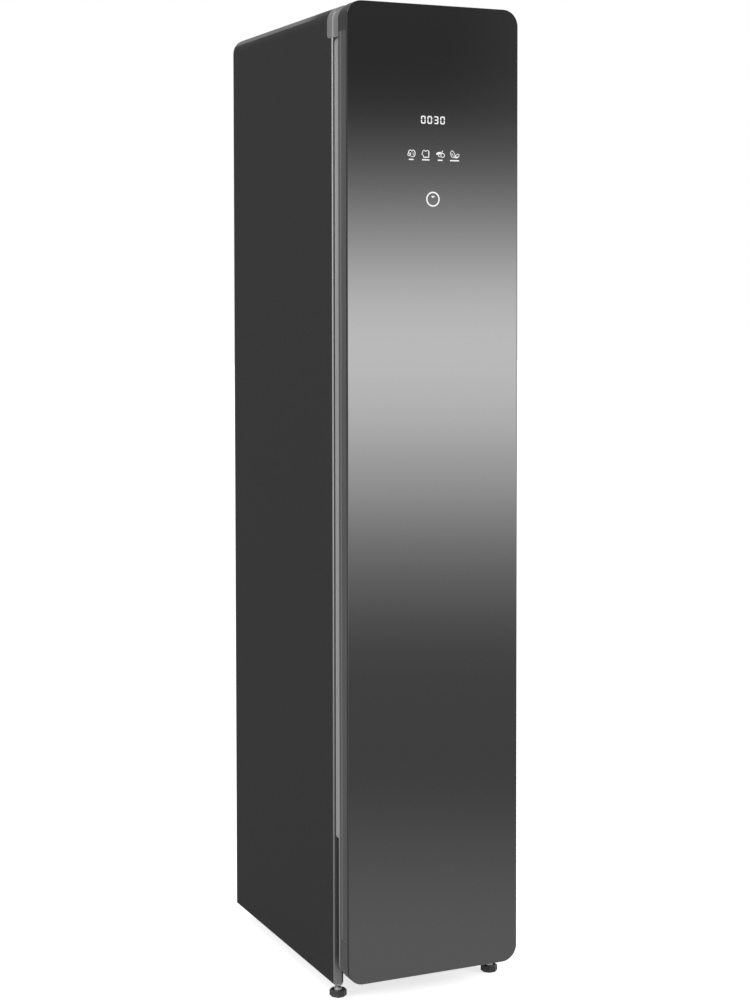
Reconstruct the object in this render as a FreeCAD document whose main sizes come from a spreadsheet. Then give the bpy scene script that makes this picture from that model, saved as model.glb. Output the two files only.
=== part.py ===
import FreeCAD, Part
import math
import os
import Sketcher
from FreeCAD import Placement, Rotation, Vector

# Clothes care steam cabinet: a free-standing, slim, full-height cabinet.
# Frame: X to the right, Y to the rear, Z up; the origin is on the floor, under the middle of the footprint.

doc = FreeCAD.newDocument("SteamCabinet")
sheet = doc.addObject("Spreadsheet::Sheet", "dims")


# ---------------------------------------------------------------- sizes and sketches

class Size:
    """A length known both as a spreadsheet expression and as its number."""

    def __init__(self, text, value):
        self.text = text
        self.value = float(value)

    def combine(self, sign, other, value, swapped=False):
        other = as_size(other)
        first, second = (other, self) if swapped else (self, other)
        return Size(f"({first.text} {sign} {second.text})", value)

    def __add__(self, other):
        return self.combine("+", other, self.value + float(other))

    def __radd__(self, other):
        return self.combine("+", other, float(other) + self.value, swapped=True)

    def __sub__(self, other):
        return self.combine("-", other, self.value - float(other))

    def __rsub__(self, other):
        return self.combine("-", other, float(other) - self.value, swapped=True)

    def __mul__(self, other):
        return self.combine("*", other, self.value * float(other))

    def __rmul__(self, other):
        return self.combine("*", other, float(other) * self.value, swapped=True)

    def __truediv__(self, other):
        return self.combine("/", other, self.value / float(other))

    def __neg__(self):
        return Size(f"(-1 * {self.text})", -self.value)

    def __float__(self):
        return self.value


def as_size(value):
    return value if isinstance(value, Size) else Size(repr(float(value)), value)


class Dimensions:
    """The driving dimensions: one spreadsheet row each, read as attributes."""

    def __init__(self):
        self.row = 0

    def add(self, **values):
        for alias, value in values.items():
            self.row += 1
            sheet.set(f"A{self.row}", alias)
            sheet.set(f"B{self.row}", str(value))
            sheet.setAlias(f"B{self.row}", alias)
            setattr(self, alias, Size(f"dims.{alias}", value))
        sheet.recompute()


d = Dimensions()
NODES = []


def keep(piece, label):
    """Names a finished sub-part."""
    piece.Label = label
    NODES.append(piece)
    return piece


def new_body(label):
    return doc.addObject("PartDesign::Body", label)


def rectangle(left, right, bottom, top, radius=None):
    corners = [(left, bottom), (right, bottom), (right, top), (left, top)]
    return corners if radius is None else [(x, y, radius) for x, y in corners]


def circle(x, y, radius):
    return {"centre": (x, y), "radius": radius}


def regular(x, y, across_flats, sides):
    """A regular polygon, given across its flats."""
    reach = across_flats / 2 / math.cos(math.pi / sides)
    turn = 2 * math.pi / sides
    angles = [turn * (k + 0.5) for k in range(sides)]
    return [(x + reach * math.cos(a), y + reach * math.sin(a)) for a in angles]


def fix(sketch, kind, geometry, size):
    """Adds a dimensional constraint and binds it to its expression."""
    size = as_size(size)
    index = sketch.addConstraint(Sketcher.Constraint(kind, *geometry, size.value))
    sketch.setExpression(f"Constraints[{index}]", size.text)


def place_point(sketch, geometry, position, x, y):
    fix(sketch, "DistanceX", (-1, 1, geometry, position), x)
    fix(sketch, "DistanceY", (-1, 1, geometry, position), y)


def draw_circle(sketch, loop):
    x, y = loop["centre"]
    shape = Part.Circle(Vector(float(x), float(y), 0), Vector(0, 0, 1), float(loop["radius"]))
    geometry = sketch.addGeometry(shape, False)
    place_point(sketch, geometry, 3, x, y)
    fix(sketch, "Radius", (geometry,), loop["radius"])


def corner_arc(before, at, after, radius):
    """Tangent points, centre and turning sense of a rounded corner."""
    to_before = (before - at).normalize()
    to_after = (after - at).normalize()
    half = to_before.getAngle(to_after) / 2
    first = at + to_before * (radius / math.tan(half))
    last = at + to_after * (radius / math.tan(half))
    centre = at + (to_before + to_after).normalize() * (radius / math.sin(half))
    leftwards = (at - before).cross(after - at).z > 0
    return first, last, centre, leftwards


def draw_polygon(sketch, loop):
    """Straight edges through the given corners, with a tangent arc where a corner has a radius."""
    points = [Vector(float(corner[0]), float(corner[1]), 0) for corner in loop]
    count = len(loop)
    starts, ends, arcs = list(points), list(points), {}
    for i, corner in enumerate(loop):
        if len(corner) == 3:
            radius = float(corner[2])
            after = points[(i + 1) % count]
            first, last, centre, leftwards = corner_arc(points[i - 1], points[i], after, radius)
            ends[i], starts[i] = first, last
            arcs[i] = (centre, radius, first, last, leftwards)
    lines = []
    for i in range(count):
        segment = Part.LineSegment(starts[i], ends[(i + 1) % count])
        lines.append(sketch.addGeometry(segment, False))
    for i, corner in enumerate(loop):
        line_in, line_out = lines[i - 1], lines[i]
        if i not in arcs:
            place_point(sketch, line_out, 1, corner[0], corner[1])
            sketch.addConstraint(Sketcher.Constraint("Coincident", line_in, 2, line_out, 1))
            continue
        centre, radius, first, last, leftwards = arcs[i]
        begin, finish = (first, last) if leftwards else (last, first)
        full = Part.Circle(centre, Vector(0, 0, 1), radius)
        arc_shape = Part.ArcOfCircle(full, full.parameter(begin), full.parameter(finish))
        arc = sketch.addGeometry(arc_shape, False)
        mark = sketch.addGeometry(Part.Point(points[i]), True)
        place_point(sketch, mark, 1, corner[0], corner[1])
        sketch.addConstraint(Sketcher.Constraint("PointOnObject", mark, 1, line_in))
        sketch.addConstraint(Sketcher.Constraint("PointOnObject", mark, 1, line_out))
        in_end, out_end = (1, 2) if leftwards else (2, 1)
        sketch.addConstraint(Sketcher.Constraint("Tangent", line_in, 2, arc, in_end))
        sketch.addConstraint(Sketcher.Constraint("Tangent", arc, out_end, line_out, 1))
        fix(sketch, "Radius", (arc,), corner[2])


def new_sketch(body, plane, loops, offset=None, at=None):
    """A sketch on one of the body's own planes, set off along its normal, its own origin moved to at."""
    sketch = body.newObject("Sketcher::SketchObject", f"{body.Name}_sketch")
    support = [item for item in body.Origin.OriginFeatures if item.Role == f"{plane}_Plane"][0]
    sketch.AttachmentSupport = (support, [""])
    sketch.MapMode = "FlatFace"
    if offset is not None:
        sketch.setExpression("AttachmentOffset.Base.z", as_size(offset).text)
    if at is not None:
        sketch.setExpression("AttachmentOffset.Base.x", as_size(at[0]).text)
        sketch.setExpression("AttachmentOffset.Base.y", as_size(at[1]).text)
    for loop in loops:
        if isinstance(loop, dict):
            draw_circle(sketch, loop)
        else:
            draw_polygon(sketch, loop)
    return sketch


# In a sketch on the XZ plane the normal points along -Y, on the others along +Z or +X.

def pad(body, plane, loops, low, high, at=None):
    """Adds material from low to high along the plane's axis."""
    offset = -as_size(high) if plane == "XZ" else low
    sketch = new_sketch(body, plane, loops, offset, at)
    feature = body.newObject("PartDesign::Pad", f"{body.Name}_pad")
    feature.Profile = sketch
    feature.setExpression("Length", (as_size(high) - low).text)
    return feature


def pocket(body, plane, loops, low, high, at=None):
    """Takes material away from low to high along the plane's axis."""
    offset = -as_size(low) if plane == "XZ" else high
    sketch = new_sketch(body, plane, loops, offset, at)
    feature = body.newObject("PartDesign::Pocket", f"{body.Name}_pocket")
    feature.Profile = sketch
    feature.setExpression("Length", (as_size(high) - low).text)
    return feature


def turned(body, x, y, profile):
    """A solid of revolution about the upright axis through x, y; the profile gives radius and height."""
    sketch = new_sketch(body, "XZ", [profile], -as_size(y), (x, 0))
    feature = body.newObject("PartDesign::Revolution", f"{body.Name}_turned")
    feature.Profile = sketch
    feature.ReferenceAxis = (sketch, ["V_Axis"])
    feature.Angle = 360
    return feature


def row(body, features, axis, length, count):
    """Repeats features along an axis of the body, the last one a length away from the first."""
    pattern = body.newObject("PartDesign::LinearPattern", f"{body.Name}_row")
    pattern.Originals = features
    line = [item for item in body.Origin.OriginFeatures if item.Role == f"{axis}_Axis"][0]
    pattern.Direction = (line, [""])
    pattern.setExpression("Length", as_size(length).text)
    pattern.Occurrences = count
    body.Tip = pattern
    return pattern


def ring(body, features, sketch, count):
    """Repeats features about the normal of a sketch."""
    pattern = body.newObject("PartDesign::PolarPattern", f"{body.Name}_ring")
    pattern.Originals = features
    pattern.Axis = (sketch, ["N_Axis"])
    pattern.Angle = 360
    pattern.Occurrences = count
    body.Tip = pattern
    return pattern


def soften(body, radius, wanted, kind="Fillet"):
    """Rounds or chamfers the edges of the body's tip for which wanted(edge bounds) holds."""
    doc.recompute()
    base = body.Tip
    names = [f"Edge{i + 1}" for i, edge in enumerate(base.Shape.Edges) if wanted(edge.BoundBox)]
    if not names:
        raise ValueError(f"{body.Name}: no edge to soften")
    feature = body.newObject(f"PartDesign::{kind}", f"{body.Name}_{kind.lower()}")
    feature.Base = (base, names)
    feature.setExpression("Radius" if kind == "Fillet" else "Size", as_size(radius).text)
    body.Tip = feature
    return feature


def near(value, target, slack=0.01):
    return abs(value - float(target)) < slack


def flat_on(bounds, axis, target):
    """True for an edge that lies wholly in the plane axis = target."""
    low, high = getattr(bounds, f"{axis}Min"), getattr(bounds, f"{axis}Max")
    return near(low, target) and near(high, target)


def block(name, x, y, z):
    """A box between two expressions on each axis."""
    box = doc.addObject("Part::Box", name)
    for prop, base, (low, high) in (("Length", "x", x), ("Width", "y", y), ("Height", "z", z)):
        box.setExpression(prop, (as_size(high) - low).text)
        box.setExpression(f"Placement.Base.{base}", as_size(low).text)
    return box


def cylinder(name, base, radius, length, axis="Z"):
    """A cylinder from a base point, along Z, or along X or Y."""
    solid = doc.addObject("Part::Cylinder", name)
    turns = {"Z": Rotation(), "X": Rotation(Vector(0, 1, 0), 90), "Y": Rotation(Vector(1, 0, 0), -90)}
    solid.Placement = Placement(Vector(), turns[axis])
    solid.setExpression("Radius", as_size(radius).text)
    solid.setExpression("Height", as_size(length).text)
    for coordinate, value in zip("xyz", base):
        solid.setExpression(f"Placement.Base.{coordinate}", as_size(value).text)
    return solid


def boolean(kind, name, base, tool):
    result = doc.addObject(f"Part::{kind}", name)
    result.Base = base
    result.Tool = tool
    return result


def group(label, solids):
    """Separate solids that share one node."""
    compound = doc.addObject("Part::Compound", label)
    compound.Links = solids
    return keep(compound, label)


# ---------------------------------------------------------------- overall form

d.add(overall_width=350, overall_depth=600, overall_height=1850, corner_radius=30)
# cabinet front behind the door's face; door's lower edge; height of the side panels' lower edge
d.add(door_stand_off=66, door_lower_edge=46, skirt_height=28)
# the rear sheets stay inside the depth by the height of a screw head
d.add(rear_stand_off=2.4)
d.add(sheet_gauge=1.2, front_edge_radius=1.4, flange_width=20)

SIDE = d.overall_width / 2
FRONT = -d.overall_depth / 2
REAR = d.overall_depth / 2
TOP = d.overall_height
BACK = REAR - d.rear_stand_off
FACE = FRONT + d.door_stand_off
GAUGE = d.sheet_gauge


# ---------------------------------------------------------------- painted steel shell: sides and top

# The top panel meets each side part of the way round the top bend.
d.add(seam_drop=15, seam_gap=0.3)
# moulded caps over the front top corners
d.add(cap_height=60, cap_depth=25, cap_top_width=46, cap_wall=3, cap_fit=0.3, cap_corner_radius=8, cap_lap=5)
d.add(cap_lip_left=22, cap_lip_right=13, cap_lip_inset=2.5, cap_edge_radius=2.4)
# channel-shaped trims over the side panels' front flanges; the liner's flange stands flush between them
d.add(trim_width=15, trim_depth=5, trim_wall=2, trim_radius=2.8)
d.add(seal_half=159.7, seal_top=1837, seal_radius=17)

SHELL_FRONT = FACE + d.trim_depth
SHELL_REAR = BACK - GAUGE
SEAM = TOP - d.seam_drop


def front_outline(inset, bottom):
    """Square below, rounded at both top corners, as seen from the front."""
    radius = d.corner_radius - inset
    left, right, top = inset - SIDE, SIDE - inset, TOP - inset
    return [(left, bottom), (right, bottom), (right, top, radius), (left, top, radius)]


def shell_solid(label, inset, bottom, front, rear):
    body = new_body(label)
    pad(body, "XZ", [front_outline(inset, bottom)], front, rear)
    soften(body, d.front_edge_radius - inset,
           lambda b: flat_on(b, "Y", front) and not flat_on(b, "Z", bottom))
    return body


def corner_region(label, side, lip, fit):
    """The space of a corner cap, grown by its fit: it is rounded at its lower rear corner."""
    outer = as_size(5)
    x_out, x_in = (SIDE + outer) * side, (SIDE - d.cap_top_width - fit) * side
    left, right = (x_out, x_in) if side < 0 else (x_in, x_out)
    low, rear = TOP - d.cap_height - fit, FACE + d.cap_depth + fit
    body = new_body(label)
    outline = [(FACE - lip - fit, low), (rear, low, d.cap_corner_radius + fit), (rear, TOP + outer),
               (FACE - lip - fit, TOP + outer)]
    pad(body, "YZ", [outline], left, right)
    return body


shell_outer = shell_solid("shell_outer", as_size(0), d.skirt_height, SHELL_FRONT, SHELL_REAR)
shell_inner = shell_solid("shell_inner", GAUGE, as_size(0), SHELL_FRONT + GAUGE, SHELL_REAR - GAUGE)
shell = boolean("Cut", "shell", shell_outer, shell_inner)
mouth = block("shell_mouth", (d.flange_width - SIDE, SIDE - d.flange_width), (FRONT, REAR + 1),
              (as_size(0), SEAM))
shell = boolean("Cut", "shell_open", shell, mouth)
for side, tag in ((-1, "left"), (1, "right")):
    region = corner_region(f"notch_{tag}", side, d.trim_depth, d.cap_fit)
    shell = boolean("Cut", f"shell_notch_{tag}", shell, region)
for side, tag in ((-1, "left"), (1, "right")):
    ends = (-SIDE - 1, as_size(0)) if side < 0 else (as_size(0), SIDE + 1)
    half = block(f"half_{tag}", ends, (FACE - 1, REAR), (as_size(0), SEAM - d.seam_gap))
    keep(boolean("Common", f"side_panel_{tag}", shell, half), f"side_panel_{tag}")
crown = block("crown", (-SIDE - 1, SIDE + 1), (FACE - 1, REAR), (SEAM, TOP + 1))
keep(boolean("Common", "top_panel", shell, crown), "top_panel")

for side, tag in ((-1, "left"), (1, "right")):
    inner, wall, rear = SIDE - d.trim_width, d.trim_wall, FACE + d.trim_depth
    channel = [(SIDE, FACE, d.trim_radius), (inner, FACE), (inner, rear), (inner + wall, rear),
               (inner + wall, FACE + wall), (SIDE - wall, FACE + wall), (SIDE - wall, rear), (SIDE, rear)]
    trim = new_body(f"front_trim_{tag}")
    pad(trim, "XY", [[(corner[0] * side, *corner[1:]) for corner in channel]],
        d.skirt_height, TOP - d.cap_height - d.cap_fit)
    keep(trim, f"front_trim_{tag}")


def corner_cap(label, side, lip):
    """Wraps the front top corner; its lip reaches forward beside the gasket."""
    width, low = d.cap_top_width, TOP - d.cap_height

    def hook(inset, wall):
        out, inner = SIDE - inset, SIDE - inset - wall
        top, under = TOP - inset, TOP - inset - wall
        end = SIDE - width
        loop = [(out, low), (out, top, d.corner_radius - inset), (end, top), (end, under),
                (inner, under, d.corner_radius - inset - wall), (inner, low)]
        return [(corner[0] * side, *corner[1:]) for corner in loop]

    rear = FACE + d.cap_depth
    body = new_body(label)
    pad(body, "XZ", [hook(as_size(0), d.cap_wall)], FACE, rear)
    soften(body, d.cap_edge_radius, lambda b: flat_on(b, "Y", FACE) and (
        b.ZMax > float(TOP) - 1 or near(max(abs(b.XMin), abs(b.XMax)), SIDE)) and b.ZLength + b.XLength > 4)
    pad(body, "XZ", [hook(d.cap_lip_inset, d.cap_wall)], FACE - lip, FACE + d.cap_wall)
    soften(body, d.cap_corner_radius, lambda b: flat_on(b, "Y", rear) and flat_on(b, "Z", low))
    # a web closes the corner up to the liner's flange
    face_x, face_top = SIDE - d.trim_width, d.seal_top + d.cap_fit
    web = [(SIDE - 1, low), (SIDE - 1, TOP - 1, d.corner_radius - 1), (SIDE - width, TOP - 1),
           (SIDE - width, face_top), (face_x, face_top, d.seal_radius), (face_x, low)]
    pad(body, "XZ", [[(corner[0] * side, *corner[1:]) for corner in web]], FACE, FACE + d.cap_wall)
    # a lap behind the panels' edges
    pad(body, "XZ", [hook(GAUGE, d.cap_wall - GAUGE)], rear - d.cap_corner_radius, rear + d.cap_lap)
    return keep(body, label)


corner_cap("corner_cap_left", -1, d.cap_lip_left)
corner_cap("corner_cap_right", 1, d.cap_lip_right)


# ---------------------------------------------------------------- rear panel and service cover

d.add(rear_edge_gap=3, rear_split_height=330, rear_lower_edge=62, bead_width=8, bead_depth=0.6)
d.add(louvre_length=64, louvre_height=5, louvre_pitch=14, louvre_low=150, louvre_offset=78)
d.add(inlet_x=-108, inlet_z=108, inlet_wide=48, inlet_tall=28, inlet_corner=3)
LOUVRES = 9


def rear_sheet(label, low, high, corner=None):
    left, right = d.rear_edge_gap - SIDE, SIDE - d.rear_edge_gap
    top = [(right, high), (left, high)] if corner is None else [(right, high, corner), (left, high, corner)]
    body = new_body(label)
    pad(body, "XZ", [[(left, low), (right, low), *top]], BACK - GAUGE, BACK)
    return body


rear_panel = rear_sheet("rear_panel", d.rear_split_height, TOP - d.rear_edge_gap,
                        d.corner_radius - d.rear_edge_gap)
# pressed frame bead, a hand's width in from the edges
bead_side, bead_low, bead_high = SIDE - 45, d.rear_split_height + 60, TOP - 80
pocket(rear_panel, "XZ", [rectangle(-bead_side, bead_side, bead_low, bead_high, as_size(20)),
                          rectangle(d.bead_width - bead_side, bead_side - d.bead_width,
                                    bead_low + d.bead_width, bead_high - d.bead_width, as_size(14))],
       BACK - d.bead_depth, BACK)
keep(rear_panel, "rear_panel")

service_cover = rear_sheet("rear_service_cover", d.rear_lower_edge, d.rear_split_height - 1)
slots = [rectangle(d.louvre_offset * s - d.louvre_length / 2, d.louvre_offset * s + d.louvre_length / 2,
                   d.louvre_low, d.louvre_low + d.louvre_height) for s in (-1, 1)]
louvre = pocket(service_cover, "XZ", slots, BACK - GAUGE, BACK)
row(service_cover, [louvre], "Z", d.louvre_pitch * (LOUVRES - 1), LOUVRES)
inlet_half, inlet_rise = d.inlet_wide / 2, d.inlet_tall / 2
window = rectangle(d.inlet_x - inlet_half, d.inlet_x + inlet_half,
                   d.inlet_z - inlet_rise, d.inlet_z + inlet_rise, d.inlet_corner)
pocket(service_cover, "XZ", [window], BACK - GAUGE, BACK)
keep(service_cover, "rear_service_cover")


# ---------------------------------------------------------------- base tray, levelling feet and their nuts

d.add(tray_floor=44, tray_gauge=2, tray_height=18, boss_flats=16, boss_foot=28, boss_drop=4)
d.add(stud_radius=5, running_fit=0.05)
d.add(front_foot_inset=15, front_foot_back=84, rear_foot_inset=57, rear_foot_ahead=38, tray_corner=1.5)
d.add(pad_flats=30, pad_height=12, pad_chamfer=1.2, stud_top=54, collar_radius=7, collar_top=16)
d.add(nut_flats=15, nut_foot=21, nut_height=7)

tray_side, tray_front, tray_rear = SIDE - GAUGE, SHELL_FRONT + GAUGE, BACK - GAUGE * 2
FEET = {
    "front_left": (d.front_foot_inset - SIDE, FRONT + d.front_foot_back),
    "front_right": (SIDE - d.front_foot_inset, FRONT + d.front_foot_back),
    "rear_left": (d.rear_foot_inset - SIDE, REAR - d.rear_foot_ahead),
    "rear_right": (SIDE - d.rear_foot_inset, REAR - d.rear_foot_ahead),
}

tray = new_body("base_tray")
outline = [(-tray_side, tray_front, d.tray_corner), (tray_side, tray_front, d.tray_corner),
           (tray_side, tray_rear), (-tray_side, tray_rear)]
inner, tray_top = d.tray_gauge, d.tray_floor + d.tray_height
cavity = rectangle(inner - tray_side, tray_side - inner, tray_front + inner, tray_rear - inner)
pad(tray, "XY", [outline], d.tray_floor, tray_top)
pocket(tray, "XY", [cavity], d.tray_floor + inner, tray_top)
pad(tray, "XY", [regular(x, y, d.boss_flats, 8) for x, y in FEET.values()],
    d.boss_foot, tray_top - d.boss_drop)
pocket(tray, "XY", [circle(x, y, d.stud_radius + d.running_fit) for x, y in FEET.values()],
       d.boss_foot, tray_top - d.boss_drop)
keep(tray, "base_tray")

for tag, (x, y) in FEET.items():
    foot = new_body(f"foot_{tag}")
    pad(foot, "XY", [regular(x, y, d.pad_flats, 8)], as_size(0), d.pad_height)
    soften(foot, d.pad_chamfer, lambda b: b.ZLength < 0.01, kind="Chamfer")
    pad(foot, "XY", [circle(x, y, d.collar_radius)], d.pad_height, d.collar_top)
    pad(foot, "XY", [circle(x, y, d.stud_radius)], d.collar_top, d.stud_top)
    keep(foot, f"foot_{tag}")

nuts = []
for tag, (x, y) in FEET.items():
    nut = new_body(f"nut_{tag}")
    pad(nut, "XY", [regular(x, y, d.nut_flats, 6), circle(x, y, d.stud_radius + d.running_fit)],
        d.nut_foot, d.nut_foot + d.nut_height)
    nuts.append(nut)
group("foot_lock_nuts", nuts)


# ---------------------------------------------------------------- chamber liner and insulation

d.add(chamber_half=147, chamber_floor=310, chamber_ceiling=1776, chamber_rear=260, liner_wall=2)
d.add(chamber_corner=14, seal_low=300)
d.add(post_spacing=80, post_width=14, post_depth=10, hanger_travel=10, post_clearance=2)
d.add(ledge_top=502, ledge_height=6, ledge_depth=5, ledge_front=-180, ledge_rear=225)
d.add(nozzle_x=95, nozzle_y=55, hose_hole=12, drain_x=-60, drain_y=40, drain_radius=7)
d.add(fan_x=-75, fan_y=190)
d.add(duct_left=13, duct_right=150, duct_front=203, duct_rear=255)

CEILING, WALL = d.chamber_ceiling, d.liner_wall
slot_half = d.post_width / 2 + d.hanger_travel + d.post_clearance


def post_slots(depth):
    """Two slots, one for each post of the hanger carriage."""
    return [rectangle(d.post_spacing * s - slot_half, d.post_spacing * s + slot_half, -depth, depth)
            for s in (-1, 1)]


def seal_flange(body, low, top, radius=None):
    """The front flange of a moulding: flush with the trims, on a return wall all round."""

    def outline(inset):
        half, high = d.seal_half - inset, top - inset
        rounding = () if radius is None else (radius - inset,)
        return [(-half, low + inset), (half, low + inset), (half, high, *rounding), (-half, high, *rounding)]

    pad(body, "XZ", [outline(as_size(0))], FACE, FACE + WALL)
    pad(body, "XZ", [outline(as_size(0)), outline(WALL)], FACE + WALL, SHELL_FRONT)


liner = new_body("chamber_liner")
box_half, box_low, box_top = d.chamber_half + WALL, d.chamber_floor - WALL, CEILING + WALL
pad(liner, "XZ", [rectangle(-box_half, box_half, box_low, box_top, d.chamber_corner + WALL)],
    FACE, d.chamber_rear + WALL)
seal_flange(liner, d.seal_low, d.seal_top, d.seal_radius)
pocket(liner, "XZ", [rectangle(-d.chamber_half, d.chamber_half, d.chamber_floor, CEILING, d.chamber_corner)],
       FACE, d.chamber_rear)
for s in (-1, 1):
    wall_x, tip_x = d.chamber_half * s, (d.chamber_half - d.ledge_depth) * s
    ends = (wall_x, tip_x) if s < 0 else (tip_x, wall_x)
    ledge = rectangle(*ends, d.ledge_top - d.ledge_height, d.ledge_top)
    pad(liner, "XZ", [ledge], d.ledge_front, d.ledge_rear)
pocket(liner, "XY", post_slots(d.post_depth / 2 + d.post_clearance), CEILING, CEILING + WALL)
pocket(liner, "XY", [circle(d.fan_x, d.fan_y, as_size(46)),
                     rectangle(d.duct_left + 5, d.duct_right - 10, d.duct_front + 4, d.duct_rear - 2),
                     circle(d.nozzle_x, d.nozzle_y, d.hose_hole),
                     circle(d.drain_x, d.drain_y, d.drain_radius)], d.chamber_floor - WALL, d.chamber_floor)
keep(liner, "chamber_liner")

d.add(foam_front=-222, foam_low=326, foam_high=1760)
foam_in, foam_out = box_half, SIDE - GAUGE
foam_rear = d.chamber_rear + WALL
slabs = [
    block("foam_left", (-foam_out, -foam_in), (d.foam_front, foam_rear), (d.foam_low, d.foam_high)),
    block("foam_right", (foam_in, foam_out), (d.foam_front, foam_rear), (d.foam_low, d.foam_high)),
    block("foam_rear", (-box_half, box_half), (foam_rear, BACK - GAUGE), (d.foam_low + 10, d.foam_high)),
]
group("insulation_blocks", slabs)


# ---------------------------------------------------------------- chamber floor, filter, aroma, nozzle, lamp

d.add(floor_half=146, floor_front=-228, floor_rear=257, floor_top=334, floor_wall=2.5)
d.add(filter_left=-134, filter_right=-14, filter_front=-212, filter_rear=-146)
d.add(aroma_left=20, aroma_right=74, aroma_front=-212, aroma_rear=-162)
d.add(nozzle_hole=15, grille_left=28, grille_pitch=8.5, grille_slot=4.5, grille_front=182, grille_rear=248)
d.add(seat_gap=0.4, floor_corner=13, floor_edge=2, well_corner=6)
GRILLE_SLOTS = 13

floor_panel = new_body("chamber_floor")
# its lower edges follow the liner's rounded corners
section = [(-d.floor_half, d.chamber_floor, d.floor_corner), (d.floor_half, d.chamber_floor, d.floor_corner),
           (d.floor_half, d.floor_top), (-d.floor_half, d.floor_top)]
pad(floor_panel, "XZ", [section], d.floor_front, d.floor_rear)
soften(floor_panel, d.floor_edge, lambda b: flat_on(b, "Z", d.floor_top), kind="Chamfer")
pocket(floor_panel, "XY", [rectangle(d.floor_wall - d.floor_half, d.floor_half - d.floor_wall,
                                     d.floor_front + d.floor_wall, d.floor_rear - d.floor_wall)],
       d.chamber_floor, d.floor_top - d.floor_wall)
well = d.well_corner
pocket(floor_panel, "XY", [rectangle(d.filter_left, d.filter_right, d.filter_front, d.filter_rear, well),
                           rectangle(d.aroma_left, d.aroma_right, d.aroma_front, d.aroma_rear, well),
                           circle(d.nozzle_x, d.nozzle_y, d.nozzle_hole)],
       d.floor_top - d.floor_wall * 2, d.floor_top)
slot = pocket(floor_panel, "XY", [rectangle(d.grille_left, d.grille_left + d.grille_slot,
                                            d.grille_front, d.grille_rear)],
              d.floor_top - d.floor_wall * 2, d.floor_top)
row(floor_panel, [slot], "X", d.grille_pitch * (GRILLE_SLOTS - 1), GRILLE_SLOTS)
keep(floor_panel, "chamber_floor")

d.add(rim_width=3, rim_height=2.6, basket_depth=18, basket_wall=1.6, mesh_bar=1.4)
d.add(bail_half=20, bail_rise=12, bail_bar=4, bail_depth=8, rib_height=4)


def cassette(label, left, right, front, rear, bars):
    """A lift-out basket with a rim, a barred floor and a finger bail across its middle."""
    gap, rim_low = d.seat_gap, d.floor_top + d.seat_gap
    x0, x1, y0, y1 = left + gap, right - gap, front + gap, rear - gap
    low = rim_low - d.basket_depth
    body = new_body(label)
    pad(body, "XY", [rectangle(x0, x1, y0, y1, as_size(5.5))], low, rim_low)
    pad(body, "XY", [rectangle(left - d.rim_width, right + d.rim_width, front - d.rim_width,
                               rear + d.rim_width, as_size(8))], rim_low, rim_low + d.rim_height)
    wall = d.basket_wall
    pocket(body, "XY", [rectangle(x0 + wall, x1 - wall, y0 + wall, y1 - wall, as_size(4))],
           low + wall, rim_low + d.rim_height)
    pitch = (float(x1) - float(x0)) / (bars + 1)
    hole = pocket(body, "XY", [rectangle(x0 + pitch / 2, x0 + pitch * 1.5 - d.mesh_bar, y0 + 6, y1 - 6)],
                  low, low + wall)
    row(body, [hole], "X", as_size(pitch * (bars - 1)), bars)
    middle, mid_y, top = (left + right) / 2, (front + rear) / 2, rim_low + d.rim_height
    half, bar, arch, rib = d.bail_half, d.bail_bar, top + d.bail_rise, low + d.rib_height
    left_leg, right_leg = middle - half, middle + half
    pad(body, "XZ", [[(x0, low), (x1, low), (x1, rib), (right_leg, rib), (right_leg, arch, as_size(4)),
                      (left_leg, arch, as_size(4)), (left_leg, rib), (x0, rib)],
                     rectangle(left_leg + bar, right_leg - bar, rib, arch - bar, as_size(3))],
        mid_y - d.bail_depth / 2, mid_y + d.bail_depth / 2)
    return keep(body, label)


cassette("lint_filter", d.filter_left, d.filter_right, d.filter_front, d.filter_rear, 13)
cassette("aroma_holder", d.aroma_left, d.aroma_right, d.aroma_front, d.aroma_rear, 5)

d.add(nozzle_flange=22, nozzle_rise=13, spigot_radius=6, spigot_foot=298)
d.add(nozzle_slot=4, vent_start=4, vent_end=9)
nozzle = new_body("steam_nozzle")
flange_top = d.floor_top + 3
dome_top = d.floor_top + d.nozzle_rise
plug = d.nozzle_hole - 0.5
turned(nozzle, d.nozzle_x, d.nozzle_y,
       [(0, d.spigot_foot), (d.spigot_radius, d.spigot_foot), (d.spigot_radius, d.floor_top - 8),
        (plug, d.floor_top - 8), (plug, d.floor_top), (d.nozzle_flange, d.floor_top),
        (d.nozzle_flange, flange_top), (d.nozzle_hole, flange_top),
        (d.nozzle_hole - 2, dome_top - 3), (d.nozzle_hole - 5, dome_top), (0, dome_top)])
vent = pocket(nozzle, "XY", [rectangle(d.vent_start, d.vent_end, -d.nozzle_slot / 2, d.nozzle_slot / 2)],
              dome_top - 6, dome_top + 1, (d.nozzle_x, d.nozzle_y))
ring(nozzle, [vent], vent.Profile[0], 6)
keep(nozzle, "steam_nozzle")

d.add(lamp_half=96, lamp_front=-212, lamp_rear=-196, lamp_drop=7)
lamp = new_body("chamber_lamp")
pad(lamp, "XY", [rectangle(-d.lamp_half, d.lamp_half, d.lamp_front, d.lamp_rear, as_size(7))],
    CEILING - d.lamp_drop, CEILING)
soften(lamp, 3, lambda b: flat_on(b, "Z", CEILING - d.lamp_drop), kind="Chamfer")
keep(lamp, "chamber_lamp")


# ---------------------------------------------------------------- shelf on its ledges

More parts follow.
